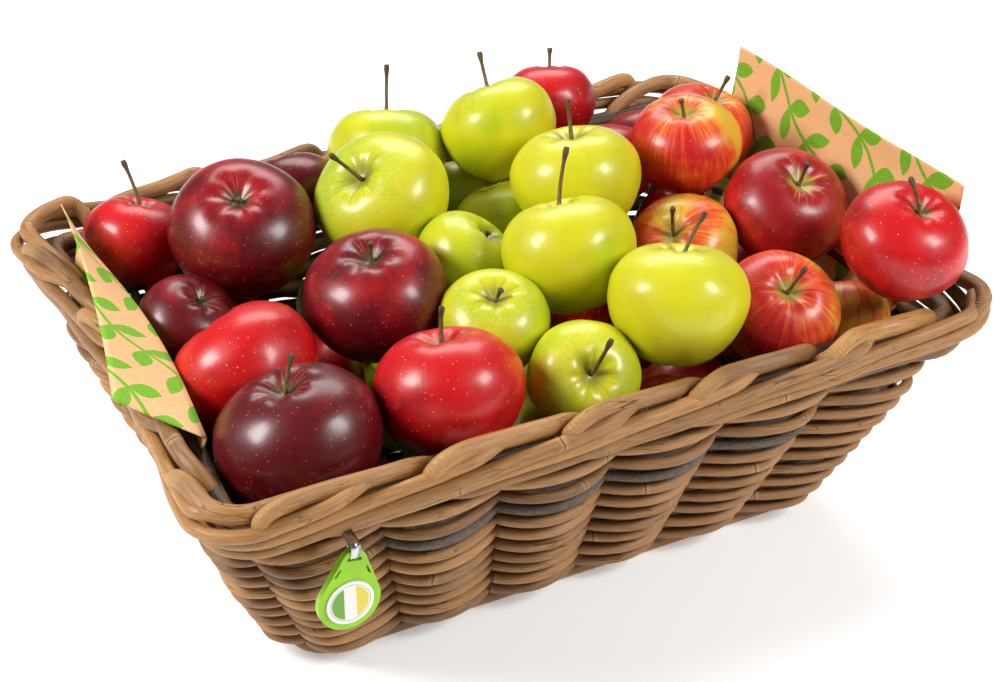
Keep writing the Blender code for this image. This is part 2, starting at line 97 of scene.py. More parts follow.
# Upper apples: node, kind, lean from upright and the compass direction it leans to in degrees,
# stem length in mm, how ripe the skin is, where its sunny side lies across and up the picture,
# and how far the stem's tip leans across and up the picture in mm
UPPER_APPLES = [
    ("striped_right_low", "striped", 30, 60, 0, 0.05, -1.0, 0.6, 0, 0),
    ("golden_back_deep", "golden", 35, 80, 0, 0.1, 0.0, 1.0, 0, 0),
    ("burgundy_left_deep", "burgundy", 26, -45, 0, 0.3, -0.8, 0.6, 0, 0),
    ("crimson_back_right_deep", "crimson", 40, 70, 0, 0.2, 0.0, 1.0, 0, 0),
    ("crimson_left", "crimson", 48, 120, 0, 0.9, -0.7, 0.5, 0, 0),
    ("golden_front_open", "golden", 54, -103, 17, 0.25, 0.6, 0.4, 6, 17),
    ("golden_centre_deep", "golden", 30, 100, 0, 0.0, 0.0, 1.0, 0, 0),
    ("golden_front_deep", "golden", 17, -109, 9, 0.2, 0.0, 1.0, 3, 0),
    ("burgundy_front_left", "burgundy", 13, 143, 20, 0.1, 0.6, 0.6, 9, 3),
    ("crimson_left_back", "crimson", 23, 34, 24, 0.7, 0.6, 0.6, -15, 4),
    ("crimson_front", "crimson", 19, 97, 20, 0.8, 0.6, 0.8, 4, 1),
    ("striped_front_right", "striped", 30, -103, 18, 0.42, -0.9, 0.1, 5, 4),
    ("golden_centre_left", "golden", 35, -20, 0, 0.0, 0.0, 1.0, 0, 0),
    ("burgundy_back_left", "burgundy", 30, 100, 0, 0.25, 0.5, 0.8, 0, 0),
    ("striped_centre_right", "striped", 40, -151, 18, 0.18, -0.6, -0.5, 5, 8),
    ("crimson_back_centre", "crimson", 40, 60, 0, 0.2, 0.0, 1.0, 0, 0),
    ("burgundy_centre", "burgundy", 11, -139, 10, 0.6, 0.1, 1.0, 1, 3),
    ("striped_right", "striped", 25, -83, 16, 0.85, 0.2, 0.2, -1, 2),
    ("golden_back_left", "golden", 24, 66, 30, 0.4, -0.6, 0.4, 1, 2),
    ("burgundy_top_left", "burgundy", 24, -115, 0, 0.5, -0.5, 0.9, 0, 0),
    ("striped_back_right", "striped", 22, -22, 16, 0.68, -0.7, -0.6, 2, 2),
    ("crimson_back_right", "crimson", 24, 60, 15, 0.4, -0.2, 0.6, 0, 1),
    ("golden_front_right", "golden", 24, 54, 24, 0.9, 0.4, -0.1, 11, 0),
    ("striped_centre_back", "striped", 8, -172, 14, 0.22, -0.9, -0.5, -1, -3),
    ("golden_centre_top", "golden", 40, -163, 24, 0.45, 0.7, 0.2, -5, 2),
    ("golden_centre_front", "golden", 28, 98, 34, 0.7, -0.3, 0.4, 14, 2),
    ("crimson_right", "crimson", 20, -62, 22, 0.6, 0.2, 0.3, -15, 2),
    ("golden_centre_right", "golden", 12, 97, 25, 0.9, 0.3, 0.4, 0, 0),
    ("golden_back_centre", "golden", 29, 101, 26, 0.45, 0.3, 0.2, 2, 0),
]

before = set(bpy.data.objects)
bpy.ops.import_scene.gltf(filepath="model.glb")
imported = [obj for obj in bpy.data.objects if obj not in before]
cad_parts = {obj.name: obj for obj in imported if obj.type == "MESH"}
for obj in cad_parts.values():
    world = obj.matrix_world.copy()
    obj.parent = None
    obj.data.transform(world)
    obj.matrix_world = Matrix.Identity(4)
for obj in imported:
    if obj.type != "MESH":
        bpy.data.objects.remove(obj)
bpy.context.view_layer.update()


def linear(hex_colour):
    """sRGB hex colour as linear red, green, blue and alpha. A link to a colour is passed on."""
    if not isinstance(hex_colour, str):
        return hex_colour
    channels = [int(hex_colour[i:i + 2], 16) / 255 for i in (0, 2, 4)]
    return [c / 12.92 if c <= 0.04045 else ((c + 0.055) / 1.055) ** 2.4 for c in channels] + [1.0]


def add(tree, kind, sockets=(), output=0, **settings):
    """Add a node and return one of its outputs.

    A kind without GeometryNode is a shader one, and the word after it is the node's operation or
    interpolation. Sockets are values or links by number or name.
    """
    kind, *choice = kind.split()
    made = tree.nodes.new(kind if kind.startswith("GeometryNode") else "ShaderNode" + kind)
    for word in choice:
        settings["operation" if hasattr(made, "operation") else "interpolation_type"] = word
    for name, value in settings.items():
        setattr(made, name, value)
    pairs = sockets.items() if isinstance(sockets, dict) else enumerate(sockets)
    for key, value in pairs:
        if isinstance(value, bpy.types.NodeSocket):
            tree.links.new(value, made.inputs[key])
        else:
            made.inputs[key].default_value = value
    return made.outputs[output]


def work_out(tree, value, *steps):
    """Put a value through steps in turn, each an operation and what else it takes."""
    for operation, *others in steps:
        value = add(tree, "Math " + operation, (value, *others))
    return value


def total(tree, base, *terms):
    """A base and the terms on it, each a value and its weight."""
    for value, weight in terms:
        base = add(tree, "Math MULTIPLY_ADD", (value, weight, base))
    return base


def bell(tree, value, centre, width, power):
    """One at the centre, and falling off smoothly at about the width on both sides."""
    return work_out(tree, value, ("SUBTRACT", centre), ("DIVIDE", width), ("POWER", power),
                    ("MULTIPLY", -1.0), ("EXPONENT",))


def blend(low, high, share):
    return low + (high - low) * share


# Basket plan


def side_point(distance, half_run, half_depth, corner):
    """Place along one side, measured from the middle of its first corner, and its depth."""
    arc = math.pi * corner / 4
    straight = 2 * (half_run - corner)
    if distance < arc:
        angle = distance / corner - math.pi / 4
        centre = corner - half_run
    elif distance <= arc + straight:
        return corner - half_run + distance - arc, half_depth
    else:
        angle = (distance - arc - straight) / corner
        centre = half_run - corner
    along = centre + corner * math.sin(angle)
    depth = half_depth - corner + corner * math.cos(angle)
    return along, depth


def half_sizes(z):
    """Half length and half width of the wall's mean surface at a height."""
    share = z / HEIGHT
    return blend(BASE_LENGTH, RIM_LENGTH, share) / 2, blend(BASE_WIDTH, RIM_WIDTH, share) / 2


def left_bow(share, z):
    """How far the left side is drawn in at a share of its length and a height."""
    return LEFT_BOW * math.sin(math.pi * share) ** 1.5 * z / HEIGHT


def plan_point(column, z, offset):
    """Point on the basket's plan at a height, offset outwards.

    The column count starts at the front left corner and runs round the front, right, back
    and left side.
    """
    half_x, half_y = half_sizes(z)
    half_x += offset
    half_y += offset
    corner = max(2 * MM, blend(BASE_CORNER, RIM_CORNER, z / HEIGHT) + offset)
    column = column % COLUMNS
    sides = (
        (COLUMNS_LONG, half_x, half_y),
        (COLUMNS_SHORT, half_y, half_x),
        (COLUMNS_LONG, half_x, half_y),
        (COLUMNS_SHORT, half_y, half_x),
    )
    start = 0
    for index, (count, half_run, half_depth) in enumerate(sides):
        if column < start + count or index == len(sides) - 1:
            break
        start += count
    length = 2 * (half_run - corner) + math.pi * corner / 2
    distance = (column - start) / count * length
    along, depth = side_point(distance, half_run, half_depth, corner)
    x, y = ((along, -depth), (depth, along), (-along, depth), (-depth, -along))[index]
    if index == len(sides) - 1:
        x += left_bow((column - start) / count, z)
    return Vector((x, y, z))


def smooth_step(low, high, value):
    share = min(1.0, max(0.0, (value - low) / (high - low)))
    return share * share * (3 - 2 * share)


def table_value(table, place):
    """Read a smooth value between the rows of a (place, value) table."""
    if place <= table[0][0]:
        return table[0][1]
    for (left, low), (right, high) in zip(table, table[1:]):
        if place <= right:
            return blend(low, high, smooth_step(left, right, place))
    return table[-1][1]


# Node trees and rods: an uneven round section swept along polylines


def open_tree(name, **inputs):
    """New node tree with its inputs, their types given as words, and the outputs of its entry node."""
    tree = bpy.data.node_groups.new(name, "GeometryNodeTree")
    tree.interface.new_socket("Geometry", in_out="OUTPUT", socket_type="NodeSocketGeometry")
    for kind, titles in {"Geometry": ["Geometry"], **inputs}.items():
        for title in titles:
            tree.interface.new_socket(title, in_out="INPUT", socket_type="NodeSocket" + kind)
    return tree, tree.nodes.new("NodeGroupInput").outputs


def close_tree(tree, mesh, material):
    """Make the mesh smooth, real and of its material, and end the tree with it."""
    mesh = add(tree, "GeometryNodeSetShadeSmooth", {"Geometry": mesh, "Shade Smooth": True})
    mesh = add(tree, "GeometryNodeRealizeInstances", {"Geometry": mesh})
    mesh = add(tree, "GeometryNodeSetMaterial", {"Geometry": mesh, "Material": material})
    tree.links.new(mesh, tree.nodes.new("NodeGroupOutput").inputs["Geometry"])
    return tree


def rod_tree():
    """Tree that turns polylines with a thickness attribute into uneven round rods."""
    tree, entry = open_tree("sweep rods along paths", Int=["Sides"], Material=["Finish"],
                            Float=["Unevenness", "Lump Length", "Seed"])
    curve = add(tree, "GeometryNodeMeshToCurve", {"Mesh": entry["Geometry"]})
    curve = add(tree, "GeometryNodeStoreNamedAttribute", {
        "Geometry": curve, "Name": "rod_along",
        "Value": add(tree, "GeometryNodeSplineParameter", output="Length")}, data_type="FLOAT")
    scale = add(tree, "Math DIVIDE", (1.0, entry["Lump Length"]))
    lumps = add(tree, "TexNoise", {"Vector": add(tree, "GeometryNodeInputPosition"), "W": entry["Seed"],
                                   "Scale": scale, "Detail": 2.0}, noise_dimensions="4D")
    lumps = work_out(tree, lumps, ("SUBTRACT", 0.5), ("MULTIPLY", entry["Unevenness"]), ("ADD", 1.0))
    thick = add(tree, "GeometryNodeInputNamedAttribute", {"Name": "rod_radius"}, "Attribute",
                data_type="FLOAT")
    ring = add(tree, "GeometryNodeCurvePrimitiveCircle", {"Resolution": entry["Sides"], "Radius": 1.0})
    ring = add(tree, "GeometryNodeStoreNamedAttribute", {
        "Geometry": ring, "Name": "rod_round",
        "Value": add(tree, "GeometryNodeInputPosition")}, data_type="FLOAT_VECTOR")
    mesh = add(tree, "GeometryNodeCurveToMesh", {
        "Curve": curve, "Profile Curve": ring, "Fill Caps": True,
        "Scale": add(tree, "Math MULTIPLY", (thick, lumps))})
    return close_tree(tree, mesh, entry["Finish"])


def new_object(name, data):
    """Object in the scene around some data."""
    made = bpy.data.objects.new(name, data)
    bpy.context.scene.collection.objects.link(made)
    return made


def plain_mesh(holder):
    """Mesh of an evaluated object, which is then taken away."""
    evaluated = holder.evaluated_get(bpy.context.evaluated_depsgraph_get())
    mesh = bpy.data.meshes.new_from_object(evaluated)
    bpy.data.objects.remove(holder, do_unlink=True)
    return mesh


def run_tree(tree, source, values, name):
    """Evaluate a node tree on a source mesh with its named inputs and keep the plain result."""
    holder = new_object(name + "_source", source)
    modifier = holder.modifiers.new("shape", "NODES")
    modifier.node_group = tree
    for item in tree.interface.items_tree:
        if item.in_out == "INPUT" and item.name in values:
            modifier[item.identifier] = values[item.name]
    mesh = plain_mesh(holder)
    mesh.name = name
    return new_object(name, mesh)


class Rod:
    """One rod's route: points with a radius and how sharply it is kinked, and its own tint."""

    def __init__(self, tint, weathering_and_shade=0.0):
        self.tint = tint
        self.weathering_and_shade = weathering_and_shade
        self.points = []
        self.radii = []
        self.bends = []

    def run_to(self, point, radius, bend=0.0):
        self.points.append(point)
        self.radii.append(radius)
        self.bends.append(bend)

    def run(self, points, radius):
        """Go through points at one radius."""
        for point in points:
            self.run_to(point, radius)
        return self


def sweep(tree, name, rods, finish, sides, unevenness, lump, seed):
    """One mesh of all the rods."""
    mesh = bpy.data.meshes.new(name + "_routes")
    points = []
    edges = []
    for rod in rods:
        start = len(points)
        points += rod.points
        edges += [(start + i, start + i + 1) for i in range(len(rod.points) - 1)]
    mesh.from_pydata(points, edges, [])
    columns = {
        "rod_radius": [radius for rod in rods for radius in rod.radii],
        "rod_bend": [bend for rod in rods for bend in rod.bends],
        "rod_tint": [rod.tint for rod in rods for _ in rod.points],
        "rod_weathering_and_shade": [rod.weathering_and_shade for rod in rods for _ in rod.points],
    }
    for title, numbers in columns.items():
        mesh.attributes.new(title, "FLOAT", "POINT").data.foreach_set("value", numbers)
    values = {"Sides": sides, "Unevenness": unevenness, "Lump Length": lump, "Seed": seed, "Finish": finish}
    return run_tree(tree, mesh, values, name)


# Materials


def new_material(name):
    """Plain material and its tree."""
    material = bpy.data.materials.new(name)
    material.use_nodes = True
    return material, material.node_tree


def paint(tree, base, *layers):
    """Lay colours over a base colour.

    A layer is the share of it that shows and its colour. A number between them multiplies the
    share, and three are the two limits that a value goes up between and its share at the second.
    """
    for share, *limits, colour in layers:
        if len(limits) == 1:
            share = add(tree, "Math MULTIPLY", (share, limits[0]))
        elif limits:
            share = add(tree, "MapRange SMOOTHSTEP", (share, limits[0], limits[1], 0.0, limits[2]))
        base = add(tree, "Mix", {0: share, 6: linear(base), 7: linear(colour)}, 2, data_type="RGBA")
    return base


def settle(material, colour, roughness, height, depth, **constants):
    """Join colour, roughness and relief of a given depth in metres to the shader; returns the material."""
    tree = material.node_tree
    shader = tree.nodes["Principled BSDF"]
    tree.links.new(colour, shader.inputs["Base Color"])
    if isinstance(roughness, bpy.types.NodeSocket):
        tree.links.new(roughness, shader.inputs["Roughness"])
    else:
        shader.inputs["Roughness"].default_value = roughness
    bump = add(tree, "Bump", {"Strength": 1.0, "Distance": depth, "Height": height})
    tree.links.new(bump, shader.inputs["Normal"])
    for name, value in constants.items():
        shader.inputs[name.replace("_", " ")].default_value = value
    return material


def read_rod(tree):
    """What a rod's mesh carries: place along it, its section's circle, tint, weathering and painted shade,
    and kink.
    """
    names = {"along": "Fac", "round": "Vector", "tint": "Fac", "weathering_and_shade": "Fac", "bend": "Fac"}
    return [add(tree, "Attribute", output=output, attribute_name="rod_" + name)
            for name, output in names.items()]


# The section's unit circle stands for a rod of about 4 mm radius
SECTION = 4 * MM


def make_rattan(name, pale, deep, ring_spacing):
    """Unpeeled rattan, dried and lightly oiled: long fibres, node rings, cracks, painted glints and worn,
    dusty rods, whose grey is also painted shade on the rods behind the weave.
    """
    material, tree = new_material(name)
    along, around, tint, weathering_and_shade, bend = read_rod(tree)
    parts = add(tree, "SeparateXYZ", (around,)).node.outputs
    run = add(tree, "Math ADD", (along, add(tree, "Math MULTIPLY", (tint, 3.7))))
    place = add(tree, "CombineXYZ", (run, add(tree, "Math MULTIPLY", (parts["X"], SECTION)),
                                     add(tree, "Math MULTIPLY", (parts["Y"], SECTION))))
    # Each pattern is scaled along the rod and across it, per metre. Fibres are about 0.5 mm wide and
    # 12 mm long, a little coarse to show. The skin's colour drifts over 25 mm.
    noises = []
    for scales, detail, roughness in (
        ((90, 1600, 1600), 3.0, 0.6), ((38, 160, 160), 3.0, 0.55), ((420, 900, 900), 4.0, 0.7),
    ):
        where = add(tree, "VectorMath MULTIPLY", (place, scales))
        noises.append(add(tree, "TexNoise",
                          {"Vector": where, "Scale": 1.0, "Detail": detail, "Roughness": roughness}))
    fibres, drift, specks_and_glints = noises
    # Cracks run along the rod, 0.3 mm wide and up to 20 mm long
    cracks = add(tree, "TexVoronoi", {"Vector": add(tree, "VectorMath MULTIPLY", (place, (42, 420, 420))),
                                      "Scale": 1.0}, feature="DISTANCE_TO_EDGE")
    cracked = add(tree, "MapRange SMOOTHSTEP", (cracks, 0.035, 0.0))
    cracked = add(tree, "Math MULTIPLY", (cracked, add(tree, "MapRange SMOOTHSTEP", (drift, 0.56, 0.62))))
    # Node rings: a thin scar every ring_spacing, at another place on each rod
    step = add(tree, "Math DIVIDE", (run, ring_spacing))
    step = total(tree, step, (drift, 0.012))
    ring = work_out(tree, step, ("FRACT",), ("SUBTRACT", 0.5), ("ABSOLUTE",))
    scar = add(tree, "MapRange SMOOTHSTEP", (ring, 0.6 * MM / ring_spacing, 0.15 * MM / ring_spacing))
    swell = add(tree, "MapRange SMOOTHSTEP", (ring, 3.5 * MM / ring_spacing, 0.0))
    marks = add(tree, "Math MAXIMUM", (cracked, scar))
    colour = paint(
        tree, deep, (tint, pale), (drift, 0.42, 0.72, 0.6, "B98546"), (fibres, 0.45, 0.68, 0.45, "4E3824"),
        # Pale orange-brown specks, scattered at random, are painted glints
        (specks_and_glints, 0.62, 0.72, 0.4, "BE9560"), (bend, 0.15, 0.9, 0.45, "C49458"),
        # Grey of weathered rods, also laid thinly on the rods behind the weave as painted shade
        (weathering_and_shade, paint(tree, "4A4037", (specks_and_glints, 0.3, 0.72, 1.0, "75685A"))),
        (swell, 0.5, "C79E68"), (marks, 0.8, "2E1F12"))
    # Wrinkles press into the inside of a kinked bend, 1.5 mm apart
    wrinkle = add(tree, "TexWave", {
        "Vector": add(tree, "VectorMath MULTIPLY", (place, (220, 260, 260))),
        "Scale": 1.0, "Distortion": 6.0, "Detail": 2.0, "Detail Scale": 1.5})
    wrinkle = add(tree, "Math MULTIPLY", (wrinkle, bend))
    relief = total(tree, 0.0, (fibres, 0.5), (specks_and_glints, 0.35), (wrinkle, 0.6), (swell, 0.7), (marks, -0.9))
    rough = total(tree, add(tree, "MapRange SMOOTHSTEP", (drift, 0.3, 0.7, 0.40, 0.56)), (weathering_and_shade, 0.3))
    return settle(material, colour, rough, relief, 0.5 * MM, IOR=1.5)


class Skin:
    """What a fruit's mesh carries for its skin: places on it, its seed and how blushed it is."""

    def __init__(self, name):
        self.material, tree = new_material(name)
        self.tree = tree
        unit, self.place, sun = (
            add(tree, "Attribute", output="Vector", attribute_name="skin_" + word)
            for word in ("unit", "place", "sun"))
        seed, ripe = (
            add(tree, "Attribute", output="Fac", attribute_name="skin_" + word)
            for word in ("seed", "blush"))
        sunny = add(tree, "VectorMath DOT_PRODUCT", (unit, sun), "Value")
        self.blush = total(tree, ripe, (sunny, 0.45))
        moved = add(tree, "Math MULTIPLY", (seed, 5.3))
        self.moved = add(tree, "CombineXYZ", (moved, moved, moved))
        self.up = add(tree, "SeparateXYZ", (unit,)).node.outputs["Z"]
        flat = add(tree, "VectorMath MULTIPLY", (unit, (1, 1, 0)))
        self.reach = add(tree, "VectorMath LENGTH", (flat,), "Value")
        self.facing = add(tree, "VectorMath NORMALIZE", (flat,))
        self.cloud_at = add(tree, "VectorMath ADD", (unit, self.moved))

    def clouds(self, scale, detail):
        """Soft patches over the whole fruit, a few across it."""
        return add(self.tree, "TexNoise", {"Vector": self.cloud_at, "Scale": scale, "Detail": detail})

    def streaks(self, count, stretch, detail=4.0):
        """Noise drawn out from the stem to the calyx: count sets how many streaks go round."""
        tree = self.tree
        tall = add(tree, "CombineXYZ", (0.0, 0.0, add(tree, "Math MULTIPLY", (self.up, stretch))))
        where = add(tree, "VectorMath MULTIPLY", (self.facing, (count, count, 0)))
        for shift in (tall, self.moved):
            where = add(tree, "VectorMath ADD", (where, shift))
        return add(tree, "TexNoise", {"Vector": where, "Scale": 1.0, "Detail": detail, "Roughness": 0.62})

    def pores(self, spacing, size):
        """Breathing pores: small dots of a given size about a spacing apart, some smaller than others."""
        tree = self.tree
        where = add(tree, "VectorMath MULTIPLY", (self.place, (1 / spacing,) * 3))
        where = add(tree, "VectorMath ADD", (where, self.moved))
        cells = add(tree, "TexVoronoi", {"Vector": where, "Scale": 1.0, "Randomness": 0.9})
        pick = add(tree, "SeparateXYZ", (cells.node.outputs["Color"],))
        wide = add(tree, "MapRange", (pick, 0.0, 1.0, 0.25 * size / spacing, size / spacing))
        return add(tree, "MapRange SMOOTHSTEP", (add(tree, "Math DIVIDE", (cells, wide)), 1.0, 0.45))

    def cavity(self, width):
        """Share of the stem cavity's darker colour, part russet and part painted shade, and thin russet rays
        that run out of it.
        """
        tree = self.tree
        top = add(tree, "MapRange SMOOTHSTEP", (self.up, 0.0, 0.3))
        inside = add(tree, "MapRange SMOOTHSTEP", (self.reach, width, width * 0.35))
        spread = add(tree, "MapRange SMOOTHSTEP", (self.reach, width * 2.1, width * 0.7))
        rays = add(tree, "MapRange SMOOTHSTEP", (self.streaks(7.0, 1.5), 0.54, 0.62))
        return (work_out(tree, inside, ("MULTIPLY", top)),
                work_out(tree, rays, ("MULTIPLY", spread), ("MULTIPLY", top)))

    def wax(self, colour, height, grain, roughness, depth, coat_roughness):
        """Waxed skin over firm flesh, pebbled in cells of about 1.3 mm."""
        where = add(self.tree, "VectorMath MULTIPLY", (self.place, (760,) * 3))
        pebbles = add(self.tree, "TexNoise",
                      {"Vector": where, "Scale": 1.0, "Detail": 2.0, "Roughness": 0.5})
        return settle(self.material, colour, roughness, total(self.tree, height, (pebbles, grain)), depth,
                      IOR=1.39, Coat_Weight=0.42, Coat_Roughness=coat_roughness, Coat_IOR=1.5)


def make_red_skin(name, deep, bright, dot, cavity, patch_low, patch_high):
    """Waxed red dessert apple skin: deep ground, brighter patches and streaks, pale pores."""
    skin = Skin(name)
    tree = skin.tree
    streaks = skin.streaks(9.0, 1.1)
    fine = skin.streaks(26.0, 2.0)
    crown = add(tree, "MapRange SMOOTHSTEP", (skin.up, 0.2, 0.95))
    warm = total(tree, skin.clouds(1.6, 3.0), (skin.blush, 0.40), (streaks, 0.30), (crown, 0.10),
                 (skin.clouds(14.0, 4.0), 0.16))
    shade, rays = skin.cavity(0.18)
    dots = skin.pores(2.9 * MM, 0.6 * MM)
    colour = paint(
        tree, deep, (warm, patch_low, patch_high, 1.0, bright), (fine, 0.54, 0.74, 0.25, bright),
        (fine, 0.46, 0.34, 0.2, deep), (rays, 0.6, "D8735A"), (shade, cavity), (dots, 0.75, dot))
    height = total(tree, 0.0, (streaks, 0.5), (dots, 0.25))
    return skin.wax(colour, height, 0.55, 0.40, 0.14 * MM, 0.23)


def make_golden_skin(name):
    """Yellow-green apple skin: greener shoulders, yellow cheeks, fine dark pores and a pale bloom."""
    skin = Skin(name)
    tree = skin.tree
    ripe = total(tree, skin.clouds(1.3, 2.0), (skin.blush, 0.35))
    streaks = skin.streaks(5.0, 0.8)
    shade, rays = skin.cavity(0.26)
    where = add(tree, "VectorMath MULTIPLY", (skin.place, (700,) * 3))
    bloom = add(tree, "TexNoise", {"Vector": where, "Scale": 1.0, "Detail": 5.0, "Roughness": 0.75})
    dusted = add(tree, "MapRange SMOOTHSTEP", (bloom, 0.5, 0.62, 0.0, 0.35))
    for value, low, high in ((skin.up, 0.55, 0.85), (skin.reach, 0.2, 0.45)):
        dusted = add(tree, "Math MULTIPLY", (dusted, add(tree, "MapRange SMOOTHSTEP", (value, low, high))))
    colour = paint(
        tree, "A4BA14", (ripe, 0.36, 0.86, 1.0, "CDC818"), (streaks, 0.56, 0.74, 0.35, "98B018"),
        (dusted, "DCE0A0"), (rays, 0.6, "8C8434"), (shade, 0.8, "8A8A2C"),
        (skin.pores(5.2 * MM, 0.5 * MM), 0.55, "6E7416"))
    return skin.wax(colour, total(tree, 0.0, (streaks, 0.5)), 0.45, 0.42, 0.15 * MM, 0.22)


def make_striped_skin(name):
    """Striped apple skin: yellow-orange ground under red streaks that close up where it is blushed."""
    skin = Skin(name)
    tree = skin.tree
    clouds = skin.clouds(1.2, 3.0)
    fine = skin.streaks(22.0, 2.2, 5.0)
    red = total(tree, -0.18, (skin.blush, 0.55), (clouds, 0.9), (skin.streaks(6.5, 0.8), 0.55), (fine, 0.55))
    shade, rays = skin.cavity(0.24)
    colour = paint(
        tree, "D4AE30", (clouds, 0.35, 0.65, 1.0, "E4902A"), (red, 0.80, 1.02, 1.0, "DE5626"),
        (red, 0.94, 1.22, 1.0, "C01C1C"), (red, 1.22, 1.5, 1.0, "900F15"), (rays, 0.6, "E8A850"),
        (shade, "A8923A"), (skin.pores(3.6 * MM, 0.55 * MM), 0.7, "EFB45A"))
    return skin.wax(colour, fine, 0.5, 0.40, 0.12 * MM, 0.23)


def make_stem_bark(name):
    """Dried fruit stalk: brown and olive, ridged along its length, paler at the broken end."""
    material, tree = new_material(name)
    along, around, tint, _, end = read_rod(tree)
    parts = add(tree, "SeparateXYZ", (around,)).node.outputs
    place = add(tree, "CombineXYZ", (along, parts["X"], parts["Y"]))
    ridges = add(tree, "TexNoise", {
        "Vector": add(tree, "VectorMath MULTIPLY", (place, (160, 2.2, 2.2))),
        "Scale": 1.0, "Detail": 4.0, "Roughness": 0.65})
    colour = paint(tree, "6B5322", (tint, "4A2E1C"), (ridges, 0.42, 0.64, 0.8, "A08A48"),
                   (end, 0.3, 1.0, 0.7, "3A2616"))
    return settle(material, colour, 0.55, ridges, 0.5 * MM)


def turned(tree, x, y, angle):
    """Two coordinates in directions turned by an angle."""
    cosine = math.cos(angle)
    sine = math.sin(angle)
    return total(tree, 0.0, (x, cosine), (y, sine)), total(tree, 0.0, (x, -sine), (y, cosine))


def leaf_mask(tree, u, v, pitch, row, tilt, length, width):
    """Row of pointed leaves along u at the height row, each turned by tilt from the row."""
    x = work_out(tree, u, ("DIVIDE", pitch), ("FRACT",), ("SUBTRACT", 0.5), ("MULTIPLY", pitch))
    run, side = turned(tree, x, add(tree, "Math SUBTRACT", (v, row)), tilt)
    share = add(tree, "Math DIVIDE", (run, length / 2))
    edge = total(tree, width / 2, (add(tree, "Math MULTIPLY", (share, share)), -width / 2))
    inside = add(tree, "Math SUBTRACT", (edge, add(tree, "Math ABSOLUTE", (side,))))
    return add(tree, "MapRange SMOOTHSTEP", (inside, -0.05 * MM, 0.12 * MM))


# Sprigs printed on the liners: how far apart they run, how they lean, and their leaves
SPRIG_LANE = 41 * MM
SPRIG_LEAN = math.radians(34)
LEAF_PITCH = 26 * MM
LEAF_LENGTH = 21 * MM
LEAF_WIDTH = 11 * MM


def make_kraft(name):
    """Uncoated kraft paper, screen printed in green with swaying sprigs of paired leaves."""
    material, tree = new_material(name)
    flat = add(tree, "UVMap", output="UV", uv_map="sheet")
    parts = add(tree, "SeparateXYZ", (flat,)).node.outputs
    u, v = turned(tree, parts["X"], parts["Y"], SPRIG_LEAN)
    row = work_out(tree, v, ("DIVIDE", SPRIG_LANE), ("FRACT",), ("MULTIPLY", SPRIG_LANE))
    row = total(tree, row, (work_out(tree, u, ("MULTIPLY", 68.0), ("SINE",)), 4.5 * MM))
    stalk = work_out(tree, row, ("SUBTRACT", SPRIG_LANE / 2), ("ABSOLUTE",))
    printed = add(tree, "MapRange SMOOTHSTEP", (stalk, 1.5 * MM, 1.2 * MM))
    for side in (1, -1):
        leaves = leaf_mask(tree, u, row, LEAF_PITCH, SPRIG_LANE / 2 + side * 9 * MM, side * math.radians(50),
                           LEAF_LENGTH, LEAF_WIDTH)
        printed = add(tree, "Math MAXIMUM", (printed, leaves))
    place = add(tree, "TexCoord", output="Object")
    pulp = add(tree, "TexNoise", {"Vector": place, "Scale": 900.0, "Detail": 5.0, "Roughness": 0.7})
    fibre = add(tree, "TexNoise", {"Vector": add(tree, "VectorMath MULTIPLY", (flat, (260, 2200, 1))),
                                   "Scale": 1.0, "Detail": 3.0})
    ink = paint(tree, "69A616", (pulp, 0.35, 0.7, 1.0, "80BA1E"))
    colour = paint(tree, "E3AF77", (pulp, 0.35, 0.7, 1.0, "F1C18A"), (fibre, 0.58, 0.72, 0.3, "C08F58"),
                   (printed, ink))
    return settle(material, colour, 0.78, total(tree, pulp, (fibre, 0.6)), 0.08 * MM)


def make_lime_plastic(name):
    """Injection moulded ABS in lime green: even colour, satin skin with a very fine texture."""
    material, tree = new_material(name)
    place = add(tree, "TexCoord", output="Object")
    grain = add(tree, "TexNoise", {"Vector": place, "Scale": 1400.0, "Detail": 2.0})
    flow = add(tree, "TexNoise", {"Vector": place, "Scale": 60.0, "Detail": 2.0})
    colour = paint(tree, "8AC604", (flow, 0.3, 0.7, 1.0, "9CD808"))
    rough = add(tree, "MapRange SMOOTHSTEP", (flow, 0.3, 0.7, 0.26, 0.34))
    return settle(material, colour, rough, grain, 0.03 * MM)


def make_label(name, centre, radius):
    """Laminated round label: white edge and three plain fields of soft colour with a ring round them."""
    material, tree = new_material(name)
    place = add(tree, "TexCoord", output="Object")
    local = add(tree, "VectorMath SUBTRACT", (place, tuple(centre)))
    across = add(tree, "SeparateXYZ", (local,))
    reach = add(tree, "VectorMath LENGTH", (add(tree, "VectorMath MULTIPLY", (local, (1, 0, 1))),), "Value")
    soft = 0.15 * MM
    field = 0.26 * radius
    rim = 0.80 * radius
    line = work_out(tree, reach, ("SUBTRACT", 0.86 * radius), ("ABSOLUTE",))
    colour = paint(
        tree, "F1F1EA", (across, soft - field, -soft - field, 1.0, "6FA83C"),
        (across, field - soft, field + soft, 1.0, "E6D24A"), (reach, rim - soft, rim + soft, 1.0, "F3F3EE"),
        (line, 0.35 * MM, 0.15 * MM, 1.0, "B9BDB2"))
    grain = add(tree, "TexNoise", {"Vector": place, "Scale": 1500.0, "Detail": 2.0})
    return settle(material, colour, 0.2, grain, 0.02 * MM)


